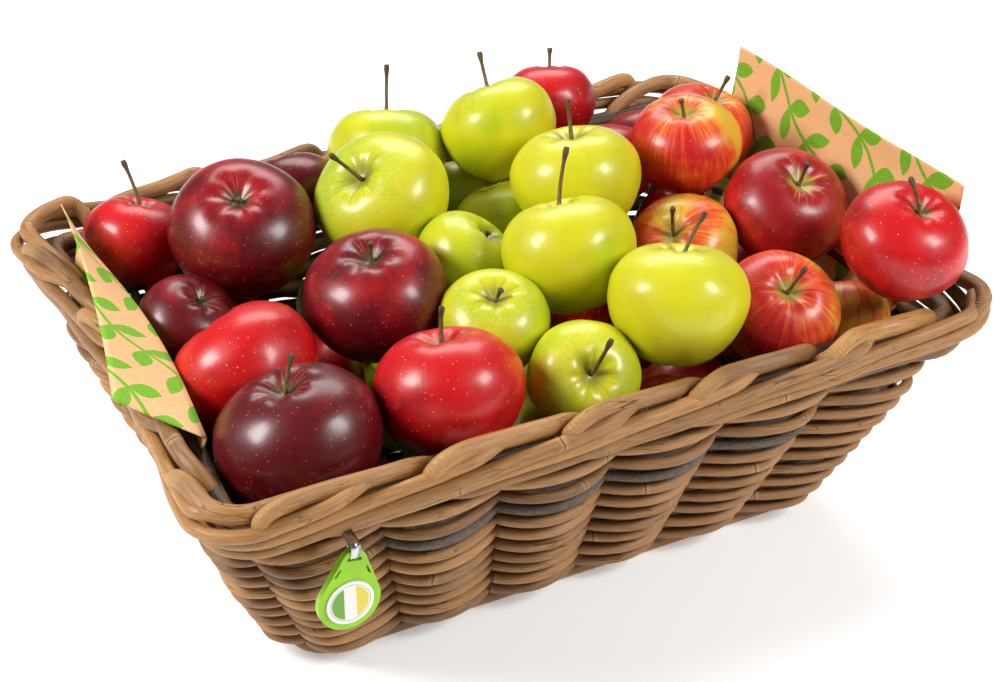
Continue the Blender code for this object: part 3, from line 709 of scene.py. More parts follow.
def make_clip_steel(name):
    """Nickel-plated spring steel strip, drawn along its length: bright with fine lengthwise lines."""
    material, tree = new_material(name)
    place = add(tree, "TexCoord", output="Object")
    drawn = add(tree, "TexNoise", {"Vector": add(tree, "VectorMath MULTIPLY", (place, (3000, 300, 120))),
                                   "Scale": 1.0, "Detail": 3.0})
    colour = paint(tree, "B9BABC", (drawn, 0.35, 0.7, 1.0, "DCDCDE"))
    rough = add(tree, "MapRange SMOOTHSTEP", (drawn, 0.3, 0.7, 0.16, 0.32))
    return settle(material, colour, rough, drawn, 0.03 * MM, Metallic=1.0)


# Basket pieces


# Offset of a woven rod's centre in a valley, and how much further out it is on a bulge
WAVE_IN = -5.5 * MM
WAVE_REACH = 16.0 * MM


def weave_offset(column, z):
    """Offset of a woven rod's centre: tight in the valleys, round over each bulge."""
    rise = min(1.0, 0.6 + z / (60 * MM) * 0.4)
    fade = min(1.0, max(0.0, (WEAVE_TOP + 6 * MM - z) / (22 * MM)))
    bulge = abs(math.sin(math.pi * column)) ** 0.85
    return (WAVE_IN + WAVE_REACH * bulge) * rise * fade


def wandering(rng, count, size):
    """Function of a column that wanders smoothly within about the given size."""
    terms = [(rng.uniform(0.15, 1.4), rng.uniform(0, math.tau), rng.uniform(0.4, 1)) for _ in range(count)]

    def wander(column):
        return size * sum(weight * math.sin(rate * column + start) for rate, start, weight in terms) / count
    return wander


def tucked(step, last, reach):
    """How far a rod's end is tucked in: it turns inwards over a few steps before 0 and after the last."""
    return smooth_step(0, -reach, step) + smooth_step(last, last + reach, step)


# One grey, weathered rod in the front, by its row and the columns it spans
WEATHERED_ROW = 7
WEATHERED_START = 1
WEATHERED_LENGTH = 4


def make_weave(tree, finish):
    """Ten rows of round rods, each row made of three lengths whose ends tuck inside the wall."""
    rng = random.Random(11)
    rods = []
    steps = 22
    ends = 4
    for row in range(WEAVE_ROWS):
        height = FOOT_HEIGHT + (row + 0.5) * ROW_PITCH
        start = round(rng.uniform(0, COLUMNS))
        lengths = (7, 7, 6)
        if row == WEATHERED_ROW:
            start = WEATHERED_START
            lengths = (WEATHERED_LENGTH, 9, 7)
        for length in lengths:
            rise = wandering(rng, 4, 1.3 * MM)
            push = wandering(rng, 4, 1.2 * MM)
            rod = Rod(rng.random(), 1.0 if length == WEATHERED_LENGTH else 0.0)
            radius = WEAVE_ROD / 2 * rng.uniform(0.92, 1.08)
            for step in range(-ends, length * steps + ends + 1):
                column = start + step / steps
                z = height + rise(column)
                offset = weave_offset(column, z) + push(column) - 6 * MM * tucked(step, length * steps, ends)
                rod.run_to(plan_point(column, z, offset), radius)
            rods.append(rod)
            start += length
    return sweep(tree, "weave_rods", rods, finish, 10, 0.22, 16 * MM, 2.0)


# Wale: columns that a float spans, its place in its column, and its lowest and highest level
WALE_SPAN = 3.7
WALE_START = 0.35
WALE_LOW = 128.5 * MM
WALE_HIGH = 160.5 * MM
# Height and offset of a wale rod's centre in mm, widest a little below the ridge
WALE_BULGE = ((126, 3), (137, 7.5), (148, 10.2), (160, 7.0))


def make_wale(tree, finish):
    """Long floats that slant up to the right: each comes out low and dives in beside a knuckle."""
    rng = random.Random(23)
    rods = []
    steps = 16
    for column in range(COLUMNS):
        rod = Rod(rng.random())
        radius = WALE_ROD / 2 * rng.uniform(0.93, 1.08)
        rise = wandering(rng, 3, 0.9 * MM)
        apart = 1.1 if column % 2 else -0.9
        for step in range(round(WALE_SPAN * steps) + 1):
            turn = step / steps
            at = column + WALE_START + turn
            z = blend(WALE_LOW, WALE_HIGH, turn / WALE_SPAN) + rise(turn)
            outer = table_value(WALE_BULGE, z / MM) + 1.2 * math.sin(math.pi * at) ** 2 + apart
            inner = -4 if turn < 1 else -1
            hidden = 1 - smooth_step(0, 0.45, turn) + smooth_step(WALE_SPAN - 0.32, WALE_SPAN, turn)
            rod.run_to(plan_point(at, z, blend(outer, inner, min(1.0, hidden)) * MM), radius)
        rods.append(rod)
    return sweep(tree, "wale_strands", rods, finish, 12, 0.16, 22 * MM, 3.0)


# Route of one border stake from its knuckle: column, height and offset in mm, and how kinked
BORDER_ROUTE = (
    (-0.05, 143, 0.0, 0.0),
    (-0.05, 150, 4.0, 0.2),
    (-0.045, 156.5, 6.6, 0.8),
    (-0.005, 161.2, 6.2, 1.0),
    (0.07, 163.2, 4.2, 0.8),
    (0.20, 163.0, 1.4, 0.2),
    (0.40, 161.4, -0.4, 0.0),
    (0.62, 160.4, -0.8, 0.0),
    (0.82, 158.8, -2.0, 0.0),
    (0.98, 156.0, -4.5, 0.0),
    (1.10, 151.5, -6.5, 0.1),
    (1.18, 145.0, -7.5, 0.0),
)


# Knuckles that stand apart from the middle of their column, in columns
KNUCKLE_SHIFTS = {0: -0.22, 4: 0.13, 5: 0.36}


def smooth_route(rows, steps):
    """Points of a Catmull-Rom curve through rows of numbers."""
    padded = [rows[0]] + list(rows) + [rows[-1]]
    made = []
    for index in range(len(rows) - 1):
        before, here, there, after = padded[index:index + 4]
        for step in range(steps):
            t = step / steps
            made.append([
                0.5 * (2 * b + (c - a) * t + (2 * a - 5 * b + 4 * c - d) * t ** 2
                       + (3 * b - a - 3 * c + d) * t ** 3)
                for a, b, c, d in zip(before, here, there, after)
            ])
    made.append(list(rows[-1]))
    return made


def make_border(tree, finish):
    """Rolled border: each stake comes up outside, bends over at its knuckle and runs to the next."""
    rng = random.Random(37)
    rods = []
    for knuckle in range(COLUMNS):
        rod = Rod(rng.random())
        radius = BORDER_ROD / 2 * rng.uniform(0.92, 1.06)
        lift = rng.uniform(-0.8, 0.6) * MM
        shift = rng.uniform(-0.04, 0.04) + KNUCKLE_SHIFTS.get(knuckle, 0.0)
        for column, height, offset, bend in smooth_route(BORDER_ROUTE, 6):
            place = plan_point(knuckle + 0.5 + shift + column, height * MM + lift, offset * MM)
            rod.run_to(place, radius * (1 - 0.10 * bend), max(0.0, bend))
        rods.append(rod)
    return sweep(tree, "border_stakes", rods, finish, 14, 0.14, 18 * MM, 4.0)


# Columns where a short stub end shows inside the foot
STUB_COLUMNS = (0.55, 1.05, 7.5, 12.4, 17.2)


def make_foot(tree, finish):
    """Thick rod that the basket stands on, in two lengths, with short stub ends inside it."""
    rng = random.Random(41)
    rods = []
    steps = 14
    ends = 3
    length = COLUMNS // 2
    radius = FOOT_ROD / 2
    for start in (1.6, 1.6 + length):
        rod = Rod(rng.random())
        for step in range(-ends, length * steps + ends + 1):
            tuck = tucked(step, length * steps, ends)
            height = radius + 1.5 * MM * tuck
            rod.run_to(plan_point(start + step / steps, height, -5 * MM * (1 + tuck)), radius)
        rods.append(rod)
    for column in STUB_COLUMNS:
        shares = [step / 6 for step in range(7)]
        rods.append(Rod(rng.random()).run(
            [plan_point(column + 0.35 * share, blend(4.2, 7, share) * MM, blend(-9, -16, share) * MM)
             for share in shares], 4 * MM))
    return sweep(tree, "foot_strand", rods, finish, 14, 0.10, 20 * MM, 5.0)


def back_layer(rng):
    """Level rods behind the weave, from the foot up to behind the wale."""
    rods = []
    steps = 8
    for row in range(WEAVE_ROWS + 3):
        height = FOOT_HEIGHT + (row + 0.02) * ROW_PITCH
        # Low tint and a little grey make these rods darker: painted shade behind the weave
        rod = Rod(0.1 * rng.random(), 0.15)
        rise = wandering(rng, 3, 0.8 * MM)
        for step in range(COLUMNS * steps + 2):
            column = step / steps
            z = height + rise(column % COLUMNS)
            rod.run_to(plan_point(column, z, 0.45 * weave_offset(column, z) - 8.0 * MM), INNER_ROD / 2)
        rods.append(rod)
    return rods


def upright_stakes(rng):
    """Pairs of upright stakes inside every bulge."""
    rods = []
    levels = [blend(12, 150, step / 18) * MM for step in range(19)]
    for column in range(COLUMNS):
        for beside in (-0.07, 0.07):
            rods.append(Rod(0.3 * rng.random()).run(
                [plan_point(column + 0.5 + beside, z, 0.45 * weave_offset(column + 0.5, z) - 10.5 * MM)
                 for z in levels], STAKE_ROD / 2))
    return rods


def base_weave(rng):
    """Woven base: every row passes over and under the sticks, the next one the other way round."""
    half_x = BASE_LENGTH / 2 - BASE_INSET
    half_y = BASE_WIDTH / 2 - BASE_INSET
    last_stick = half_x - BASE_STICK_MARGIN
    radius = BASE_ROD / 2
    rods = []
    for stick in range(BASE_STICKS):
        x = blend(-last_stick, last_stick, stick / (BASE_STICKS - 1))
        rods.append(Rod(rng.random()).run(
            [Vector((x, blend(-half_y, half_y, step / 20), BASE_LEVEL)) for step in range(21)], radius))
    for row in range(BASE_ROWS):
        y = blend(BASE_ROW_MARGIN - half_y, half_y - BASE_ROW_MARGIN, row / (BASE_ROWS - 1))
        inset = max(0.0, abs(y) - half_y + BASE_ROUNDING)
        reach = half_x - BASE_ROUNDING + math.sqrt(max(0.0, BASE_ROUNDING ** 2 - inset ** 2))
        sway = BASE_SWAY if row % 2 else -BASE_SWAY
        rod = Rod(rng.random())
        for step in range(91):
            x = blend(-reach, reach, step / 90)
            turn = (x + last_stick) / (2 * last_stick) * (BASE_STICKS - 1)
            rod.run_to(Vector((x, y, BASE_LEVEL + sway * math.cos(math.pi * turn))), radius)
        rods.append(rod)
    return rods


def make_stakes(tree, finish):
    """Back layer of the wall, upright stakes inside every bulge and the woven base below them."""
    rng = random.Random(53)
    rods = back_layer(rng) + upright_stakes(rng) + base_weave(rng)
    # These rods take the darker inner rattan, painted shade for where they lie behind the weave and under
    # the apples
    return sweep(tree, "stakes_and_base", rods, finish, 8, 0.15, 15 * MM, 6.0)


# Apples


def apple_tree():
    """Tree that shapes a sphere into an apple: cavity, calyx dip, taper, lobes and uneven shoulders."""
    tree, entry = open_tree(
        "shape an apple", Material=["Skin"], Int=["Segments", "Rings"], Vector=["Place", "Lean", "Sun"],
        Float=["Diameter", "Height", "Cavity Depth", "Cavity Width", "Taper", "Lobes", "Seed", "Blush"])
    diameter, seed = entry["Diameter"], entry["Seed"]
    ball = add(tree, "GeometryNodeMeshUVSphere",
               {"Segments": entry["Segments"], "Rings": entry["Rings"], "Radius": 1.0})
    ball = add(tree, "GeometryNodeStoreNamedAttribute", {
        "Geometry": ball, "Name": "skin_unit",
        "Value": add(tree, "GeometryNodeInputPosition")}, data_type="FLOAT_VECTOR")
    unit = add(tree, "GeometryNodeInputNamedAttribute", {"Name": "skin_unit"}, "Attribute",
               data_type="FLOAT_VECTOR")
    parts = add(tree, "SeparateXYZ", (unit,)).node.outputs
    z = parts["Z"]
    angle = add(tree, "Math ARCTAN2", (parts["Y"], parts["X"]))
    flat = add(tree, "VectorMath MULTIPLY", (unit, (1, 1, 0)))
    reach = add(tree, "VectorMath LENGTH", (flat,), "Value")
    fuller = work_out(tree, reach, ("MAXIMUM", 0.002), ("POWER", -0.10))
    # Lobes: five low ribs, strongest towards the calyx, and two broad ones that make it lopsided
    ribs = []
    for count, turn in ((5.0, 1.0), (2.0, 2.3), (3.0, 4.1)):
        turned_by = add(tree, "Math MULTIPLY", (seed, turn))
        ribs.append(work_out(tree, angle, ("MULTIPLY_ADD", count, turned_by), ("COSINE",)))
    five = add(tree, "Math MULTIPLY", (ribs[0], add(tree, "MapRange", (z, 0.5, -1.0, 0.15, 1.3))))
    lobes = work_out(tree, total(tree, five, (ribs[1], 0.9), (ribs[2], 0.6)), ("MULTIPLY", entry["Lobes"]))
    lump_at = add(tree, "VectorMath ADD", (unit, add(tree, "CombineXYZ", (seed, seed, 0.0))))
    lumps = add(tree, "TexNoise", {"Vector": lump_at, "Scale": 1.7, "Detail": 1.0})
    lobes = total(tree, lobes, (add(tree, "Math SUBTRACT", (lumps, 0.5)), 0.07))
    # The taper narrows it downwards, most of all below the middle
    taper = total(tree, z, (add(tree, "Math MULTIPLY", (z, z)), -0.25))
    lobes = total(tree, lobes, (taper, entry["Taper"]))
    radius = add(tree, "Math MULTIPLY", (diameter, 0.5))
    swell = work_out(tree, lobes, ("ADD", 1.0), ("MULTIPLY", fuller), ("MULTIPLY", radius))
    around = add(tree, "VectorMath SCALE", {0: flat, "Scale": swell})
    # Height in diameters: the ball's own, less the cavity and the calyx dip, with one shoulder higher
    # and seven folds that run down into the cavity
    above = add(tree, "Math GREATER_THAN", (z, 0.0))
    below = add(tree, "Math LESS_THAN", (z, 0.0))
    hollow = work_out(tree, bell(tree, reach, 0.0, entry["Cavity Width"], 1.5), ("MULTIPLY", above))
    dip = work_out(tree, bell(tree, reach, 0.0, CALYX_WIDTH, 2.0), ("MULTIPLY", below))
    slope = work_out(tree, angle, ("ADD", seed), ("COSINE",), ("MULTIPLY", reach))
    shoulder = add(tree, "MapRange", (z, 0.1, 0.9, 0.0, 0.028))
    folds = work_out(tree, angle, ("MULTIPLY_ADD", 7.0, seed), ("COSINE",), ("MULTIPLY", above))
    tall = work_out(tree, z, ("MULTIPLY", 0.5), ("MULTIPLY", entry["Height"]))
    tall = add(tree, "Math SUBTRACT", (tall, add(tree, "Math MULTIPLY", (hollow, entry["Cavity Depth"]))))
    tall = total(tree, tall, (dip, CALYX_DEPTH), (slope, shoulder),
                 (add(tree, "Math MULTIPLY", (folds, bell(tree, reach, 0.26, 0.13, 2.0))), 0.008))
    lifted = add(tree, "CombineXYZ", (0.0, 0.0, add(tree, "Math MULTIPLY", (tall, diameter))))
    place = add(tree, "VectorMath ADD", (around, lifted))
    fruit = add(tree, "GeometryNodeSetPosition", {"Geometry": ball, "Position": place})
    for name, kind, value in (
        ("skin_place", "FLOAT_VECTOR", add(tree, "GeometryNodeInputPosition")), ("skin_seed", "FLOAT", seed),
        ("skin_blush", "FLOAT", entry["Blush"]), ("skin_sun", "FLOAT_VECTOR", entry["Sun"]),
    ):
        fruit = add(tree, "GeometryNodeStoreNamedAttribute",
                    {"Geometry": fruit, "Name": name, "Value": value}, data_type=kind)
    fruit = add(tree, "GeometryNodeTransform",
                {"Geometry": fruit, "Translation": entry["Place"], "Rotation": entry["Lean"]})
    return close_tree(tree, fruit, entry["Skin"])


def hand_in(piece, slot, *nodes):
    """Hide the parts that a piece stands for and let it ride on the body; the slot is not used."""
    if nodes:
        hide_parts(*nodes)
    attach(piece, BODY)


def join(name, things):
    """Join objects into the first one and name it."""
    bpy.ops.object.select_all(action="DESELECT")
    for thing in things:
        thing.select_set(True)
    bpy.context.view_layer.objects.active = things[0]
    bpy.ops.object.join()
    made = bpy.context.view_layer.objects.active
    made.name = name
    made.data.name = name
    return made


def leaning(lean, toward):
    """Turn of an apple that leans by one angle towards a compass direction, both in degrees."""
    return Matrix.Rotation(math.radians(toward), 3, "Z") @ Matrix.Rotation(math.radians(lean), 3, "Y")


def measure_apple(node, turn):
    """Middle of a packed apple's widest ring, its diameter, and its lowest and highest level.

    The apple's lean is undone first, and what stands near its axis is stem and doesn't count.
    """
    points = [turn.transposed() @ vertex.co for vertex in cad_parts[node].data.vertices]
    near = 0.5 * MM
    widest = max(math.hypot(a.x - b.x, a.y - b.y) for a in points for b in points if abs(a.z - b.z) < near)
    level = widest_height(points)
    wide = [p for p in points if abs(p.z - level) < near]
    middle = sum(wide, Vector()) / len(wide)
    away = [p.z for p in points if math.hypot(p.x - middle.x, p.y - middle.y) > 0.2 * widest]
    return middle, widest, min(p.z for p in points), max(away)


def reach_up_down(form, height):
    """How far an apple of a height factor reaches above and below its middle, in diameters."""
    top = bottom = 0.0
    for step in range(41):
        z = step / 40
        ring = math.sqrt(1 - z * z)
        cavity = form["Cavity Depth"] * math.exp(-(ring / form["Cavity Width"]) ** 1.5)
        calyx = CALYX_DEPTH * math.exp(-(ring / CALYX_WIDTH) ** 2)
        top = max(top, height * z / 2 - cavity)
        bottom = max(bottom, height * z / 2 - calyx)
    return top, bottom


def widest_height(points):
    """Height of the apple's widest ring along its own axis."""
    levels = {}
    for point in points:
        levels.setdefault(round(point.z / (0.2 * MM)), []).append(point)
    best = None
    for ring in levels.values():
        middle = sum(ring, Vector()) / len(ring)
        reach = max((p - middle).length for p in ring) if len(ring) > 3 else 0.0
        if best is None or reach > best[0]:
            best = (reach, middle.z)
    return best[1]


def hidden_kind(x, index):
    """Kind of a lower apple: the heap is dark red at its left, yellow-green in the middle and red right."""
    if abs(x) < 60 * MM:
        return "golden"
    pair = ("burgundy", "crimson") if x < 0 else ("striped", "crimson")
    return pair[index % 2]


def all_apples(rng):
    """Rows of the upper apples and of the ones under them, with how finely each is divided."""
    rows = [(name + "_apple", *rest, FINE) for name, *rest in UPPER_APPLES]
    for node in sorted(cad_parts):
        if node.startswith(("floor_apple", "middle_apple")):
            index = int(node.rsplit("_", 1)[1]) - 1
            kind = hidden_kind(sum(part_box(node), Vector()).x / 2, index)
            rows.append((node, kind, 15 + 50 * (index * 0.618 % 1), 360 * (index * 0.382 % 1), 0,
                         0.5 * rng.random(), rng.uniform(-1, 1), 0.5, 0, 0, COARSE))
    return rows


def make_apples(rods, stem_finish, skins):
    """All the apples, joined by kind, and the stalks of those that show one."""
    tree = apple_tree()
    made = {kind: [] for kind in APPLE_FORMS}
    nodes = {kind: [] for kind in APPLE_FORMS}
    stalks = []
    rng = random.Random(71)
    seeds = bpy.data.meshes.new("apple_seed_mesh")
    right, up, back = camera_axes()
    for node, kind, lean, toward, stem, ripe, across, lift, sway, rise, fineness in all_apples(rng):
        form = APPLE_FORMS[kind]
        turn = leaning(lean, toward)
        middle, diameter, low, high = measure_apple(node, turn)
        shown = fineness == FINE
        if shown:
            diameter *= SHOWN_SWELL
        top, bottom = reach_up_down(form, form["Height"])
        height = form["Height"] * (high - low) * APPLE_RISE / (diameter * (top + bottom))
        top, bottom = reach_up_down(form, height)
        middle.z = high + (APPLE_RISE - 1) / 2 * (high - low) - top * diameter
        centre = turn @ middle
        values = {
            **form, "Height": height, "Diameter": diameter, "Seed": rng.uniform(0, 20), "Blush": ripe,
            "Place": centre, "Lean": Vector((0, math.radians(lean), math.radians(toward))),
            "Segments": fineness[0], "Rings": fineness[1], "Skin": skins[kind],
            "Sun": turn.transposed() @ (across * right + lift * up + 0.5 * back).normalized(),
        }
        made[kind].append(run_tree(tree, seeds, values, node + "_fruit"))
        nodes[kind].append(node)
        if shown:
            tip_lean = (sway * right + rise * up) * MM
            floor = diameter * (height / 2 - form["Cavity Depth"])
            stalks.append(make_stalk(rng, centre, turn, floor, stem * MM, tip_lean))
    for kind in APPLE_FORMS:
        piece = join(kind + "_apples", made[kind])
        piece.data.materials.clear()
        piece.data.materials.append(skins[kind])
        hand_in(piece, kind + "_skin", *nodes[kind])
    stalk_piece = sweep(rods, "apple_stalks", stalks, stem_finish, 10, 0.35, 4 * MM, 8.0)
    hand_in(stalk_piece, "weathered_rattan")


def make_stalk(rng, centre, turn, floor, length, tip_lean):
    """Stalk from the cavity's floor, thinner in the middle, with a knob where it broke off."""
    shown = length * 1.1 if length else 5 * MM
    rod = Rod(rng.random())
    steps = 14
    for step in range(steps + 1):
        share = step / steps
        height = floor - 2 * MM + (shown + 2 * MM) * share
        thick = blend(1.45, 1.1, smooth_step(0, 0.5, share)) + 0.8 * smooth_step(0.78, 0.96, share)
        if step == steps:
            thick *= 0.8
        rod.run_to(centre + turn @ Vector((0, 0, height)) + tip_lean * share ** 1.4, thick * MM, share)
    return rod


# Paper liners


def thicken(piece, thickness):
    """Give a sheet its thickness, half to each side."""
    solid = piece.modifiers.new("thickness", "SOLIDIFY")
    solid.thickness = thickness
    solid.offset = 0.0
    return piece


def sheet_mesh(name, rows, thickness, finish):
    """Thin paper sheet through rows of points, with a UV map in metres of flat paper."""
    across = len(rows[0])
    mesh = bpy.data.meshes.new(name)
    points = [point for row in rows for point in row]
    faces = []
    for row in range(len(rows) - 1):
        for column in range(across - 1):
            corner = row * across + column
            faces.append((corner, corner + 1, corner + across + 1, corner + across))
    mesh.from_pydata(points, [], faces)
    lengths = [[0.0] for _ in rows]
    for index, row in enumerate(rows):
        for first, second in zip(row, row[1:]):
            lengths[index].append(lengths[index][-1] + (second - first).length)
    heights = [[0.0] * across]
    for above, row in zip(rows, rows[1:]):
        heights.append([heights[-1][i] + (row[i] - above[i]).length for i in range(across)])
    layer = mesh.uv_layers.new(name="sheet")
    for loop in mesh.loops:
        row, column = divmod(loop.vertex_index, across)
        layer.data[loop.index].uv = (lengths[row][column], heights[row][column])
    mesh.materials.append(finish)
    mesh.shade_smooth()
    return thicken(new_object(name, mesh), thickness)


def between_rows(rows, heights_per_gap):
    """Fill in rows between the given ones, so that creases stay but the sheet is finely divided."""
    made = []
    for first, second in zip(rows, rows[1:]):
        for step in range(heights_per_gap):
            share = step / heights_per_gap
            made.append([a.lerp(b, share) for a, b in zip(first, second)])
    made.append(rows[-1])
    return made


# Liners, in mm: how far inside the wall they hang, and the back and front end of the left one's outer
# edge and of its crease on the rim
LINER_INSIDE = 13
LEFT_EDGE = (Vector((-213, 127, 187)), Vector((-247, -72, 179)))
LEFT_CREASE = (Vector((-206, 125, 165)), Vector((-209, -100, 161)))
# Rows of the right one above the rim: height, place across at the back end, and how much further out
# the front end is
RIGHT_ROWS = ((217, 223.5, 4.5), (203, 222.5, 5), (190, 220.5, 4.5), (168, 216.8, 1.5))
RIGHT_BACK = 84
RIGHT_FRONT = -135


def hanging_row(shares, side, z, back, front, bow):
    """Row of a liner inside the wall at a height, from its back end to its front end, all in mm."""
    x = side * (half_sizes(z * MM)[0] / MM - LINER_INSIDE)
    return [Vector((x + bow * math.sin(math.pi * share), blend(back, front, share), z)) * MM
            for share in shares]


def make_liners(finish):
    """Left liner folded out over the rim and right liner standing above it."""
    shares = [step / 60 for step in range(61)]
    left = []
    for fraction in (0.0, 0.5, 1.0):
        row = []
        for share in shares:
            bow = math.sin(math.pi * share)
            edge = LEFT_EDGE[0].lerp(LEFT_EDGE[1], share)
            edge += Vector((4 * bow, 0, 2 * math.sin(3 * math.pi * share)))
            crease = LEFT_CREASE[0].lerp(LEFT_CREASE[1], share) + Vector((8 * bow, 0, 0))
            row.append(edge.lerp(crease, fraction) * MM)
        left.append(row)
    left += [hanging_row(shares, -1, z, 122, -93, 8) for z in (145, 120, 95)]
    right = []
    for z, back, lean in RIGHT_ROWS:
        ripple = 1.5 * (z - RIGHT_ROWS[-1][0]) / (RIGHT_ROWS[0][0] - RIGHT_ROWS[-1][0])
        right.append([Vector((back + lean * share + ripple * math.sin(2.5 * math.pi * share),
                              blend(RIGHT_BACK, RIGHT_FRONT, share), z)) * MM for share in shares])
    right += [hanging_row(shares, 1, z, 80, front, 0) for z, front in ((140, -120), (110, -104))]
    for name, rows, node in (("left_liner", left, "left_paper"), ("right_liner", right, "right_paper")):
        hand_in(sheet_mesh(name, between_rows(rows, 6), 0.5 * MM, finish), "kraft_paper", node)


# Tag


FOB_HEIGHT = 47 * MM
FOB_WIDTH = 33 * MM
FOB_THICKNESS = 4 * MM
FOB_TIP_RADIUS = 6.5 * MM
FOB_PLACE = Vector((-165 * MM, -180.4 * MM, 132 * MM))
FOB_TWIST = math.radians(8)
LABEL_RADIUS = 12.5 * MM
# Level of the middle of the fob's round end, when its tip ends at 0
FOB_CENTRE = FOB_WIDTH / 2 - FOB_HEIGHT
# Slots in the fob: width, height, x and z in mm, and their turn in degrees
FOB_SLOTS = ((8.4, 2.6, 0, -5.2, 0), (1.6, 6, -8.2, -12.5, 28), (1.6, 6, 8.2, -12.5, -28))
# The clip's strip, and its path of y and z in mm: out of the border, through the fob's slot and back
CLIP_WIDTH = 5 * MM
CLIP_THICKNESS = 0.5 * MM
CLIP_PATH = (
    (10.0, 2.4), (4.6, 1.9), (2.6, 0.2), (2.4, -3.4), (1.3, -4.8), (-1.3, -4.8), (-2.4, -3.4), (-2.4, 0.4),
    (-1.6, 2.8), (0.6, 4.0), (4.6, 4.2), (10.0, 4.2),
)


def tag_place():
    return Matrix.Translation(FOB_PLACE) @ Matrix.Rotation(FOB_TWIST, 4, "Y")


def teardrop_outline(steps):
    """Large and small circle joined by their outer tangents, with the tip at z = 0."""
    big = FOB_WIDTH / 2
    small = FOB_TIP_RADIUS
    big_z = FOB_CENTRE
    small_z = -small
    tangent = math.asin((big - small) / (small_z - big_z))
    outline = []
    for step in range(2 * steps + 1):
        angle = math.pi - tangent + (math.pi + 2 * tangent) * step / (2 * steps)
        outline.append((big * math.cos(angle), big_z + big * math.sin(angle)))
    for step in range(steps + 1):
        angle = tangent + (math.pi - 2 * tangent) * step / steps
        outline.append((small * math.cos(angle), small_z + small * math.sin(angle)))
    return outline


def slot_outline(width, height, x, z, turned_by):
    """Round-ended slot as a closed outline, from mm and degrees."""
    width, height, x, z = (size * MM for size in (width, height, x, z))
    angle = math.radians(turned_by)
    radius = min(width, height) / 2
    run = (max(width, height) - 2 * radius) / 2
    upright = height > width
    outline = []
    for end in (1, -1):
        for step in range(9):
            turn = -math.pi / 2 + math.pi * step / 8
            along = end * (run + radius * math.cos(turn))
            aside = end * radius * math.sin(turn)
            px, pz = (-aside, along) if upright else (along, aside)
            outline.append((
                x + px * math.cos(angle) + pz * math.sin(angle),
                z - px * math.sin(angle) + pz * math.cos(angle),
            ))
    return outline


def filled_plate(name, outlines, thickness, bevel, place, finish):
    """Plate with holes from outlines of x and z, both its rims rounded."""
    curve = bpy.data.curves.new(name, "CURVE")
    curve.dimensions = "2D"
    curve.fill_mode = "BOTH"
    curve.extrude = thickness / 2 - bevel
    curve.bevel_depth = bevel
    curve.bevel_resolution = 3
    for outline in outlines:
        spline = curve.splines.new("POLY")
        spline.points.add(len(outline) - 1)
        for point, (x, z) in zip(spline.points, outline):
            point.co = (x, z, 0, 1)
        spline.use_cyclic_u = True
    mesh = plain_mesh(new_object(name + "_curve", curve))
    mesh.transform(place @ Matrix.Rotation(math.radians(90), 4, "X"))
    tidy = bmesh.new()
    tidy.from_mesh(mesh)
    bmesh.ops.remove_doubles(tidy, verts=tidy.verts, dist=0.005 * MM)
    bmesh.ops.recalc_face_normals(tidy, faces=tidy.faces)
    tidy.to_mesh(mesh)
    tidy.free()
    mesh.materials.clear()
    mesh.materials.append(finish)
    mesh.shade_smooth()
    mesh.set_sharp_from_angle(angle=math.radians(50))
    return new_object(name, mesh)


def ribbon(name, path, width, thickness, place, finish):
    """Metal strip of a width that follows a path of y and z."""
    mesh = bpy.data.meshes.new(name)
    points = []
    faces = []
    for index, (y, z) in enumerate(path):
        points += [Vector((-width / 2, y, z)), Vector((width / 2, y, z))]
        if index:
            low = 2 * index - 2
            faces.append((low, low + 1, low + 3, low + 2))
    mesh.from_pydata([place @ point for point in points], [], faces)
    mesh.materials.append(finish)
    mesh.shade_smooth()
    return thicken(new_object(name, mesh), thickness)


def make_tag(lime, label, steel):
    """Plastic fob with three slots, its round label and the folded clip."""
    place = tag_place()
    outlines = [teardrop_outline(24)] + [slot_outline(*slot) for slot in FOB_SLOTS]
    fob = filled_plate("lime_fob", outlines, FOB_THICKNESS, 0.3 * MM, place, lime)
    angles = [math.tau * step / 64 for step in range(64)]
    disc = [(LABEL_RADIUS * math.cos(angle), LABEL_RADIUS * math.sin(angle)) for angle in angles]
    label_place = place @ Matrix.Translation((0, -FOB_THICKNESS / 2 - 0.5 * MM, FOB_CENTRE))
    sticker = filled_plate("round_label", [disc], 0.9 * MM, 0.25 * MM, label_place, label)
    path = [(y * MM, z * MM) for y, z in smooth_route(CLIP_PATH, 8)]
    clip = ribbon("strip_clip", path, CLIP_WIDTH, CLIP_THICKNESS, place, steel)
    hand_in(fob, "lime_plastic", "tag_fob")
    hand_in(sticker, "label_gloss", "tag_label")
    hand_in(clip, "clip_steel", "tag_clip")


# Stage


FLOOR_REACH = 6.0
FLOOR_LEVEL = -0.3 * MM


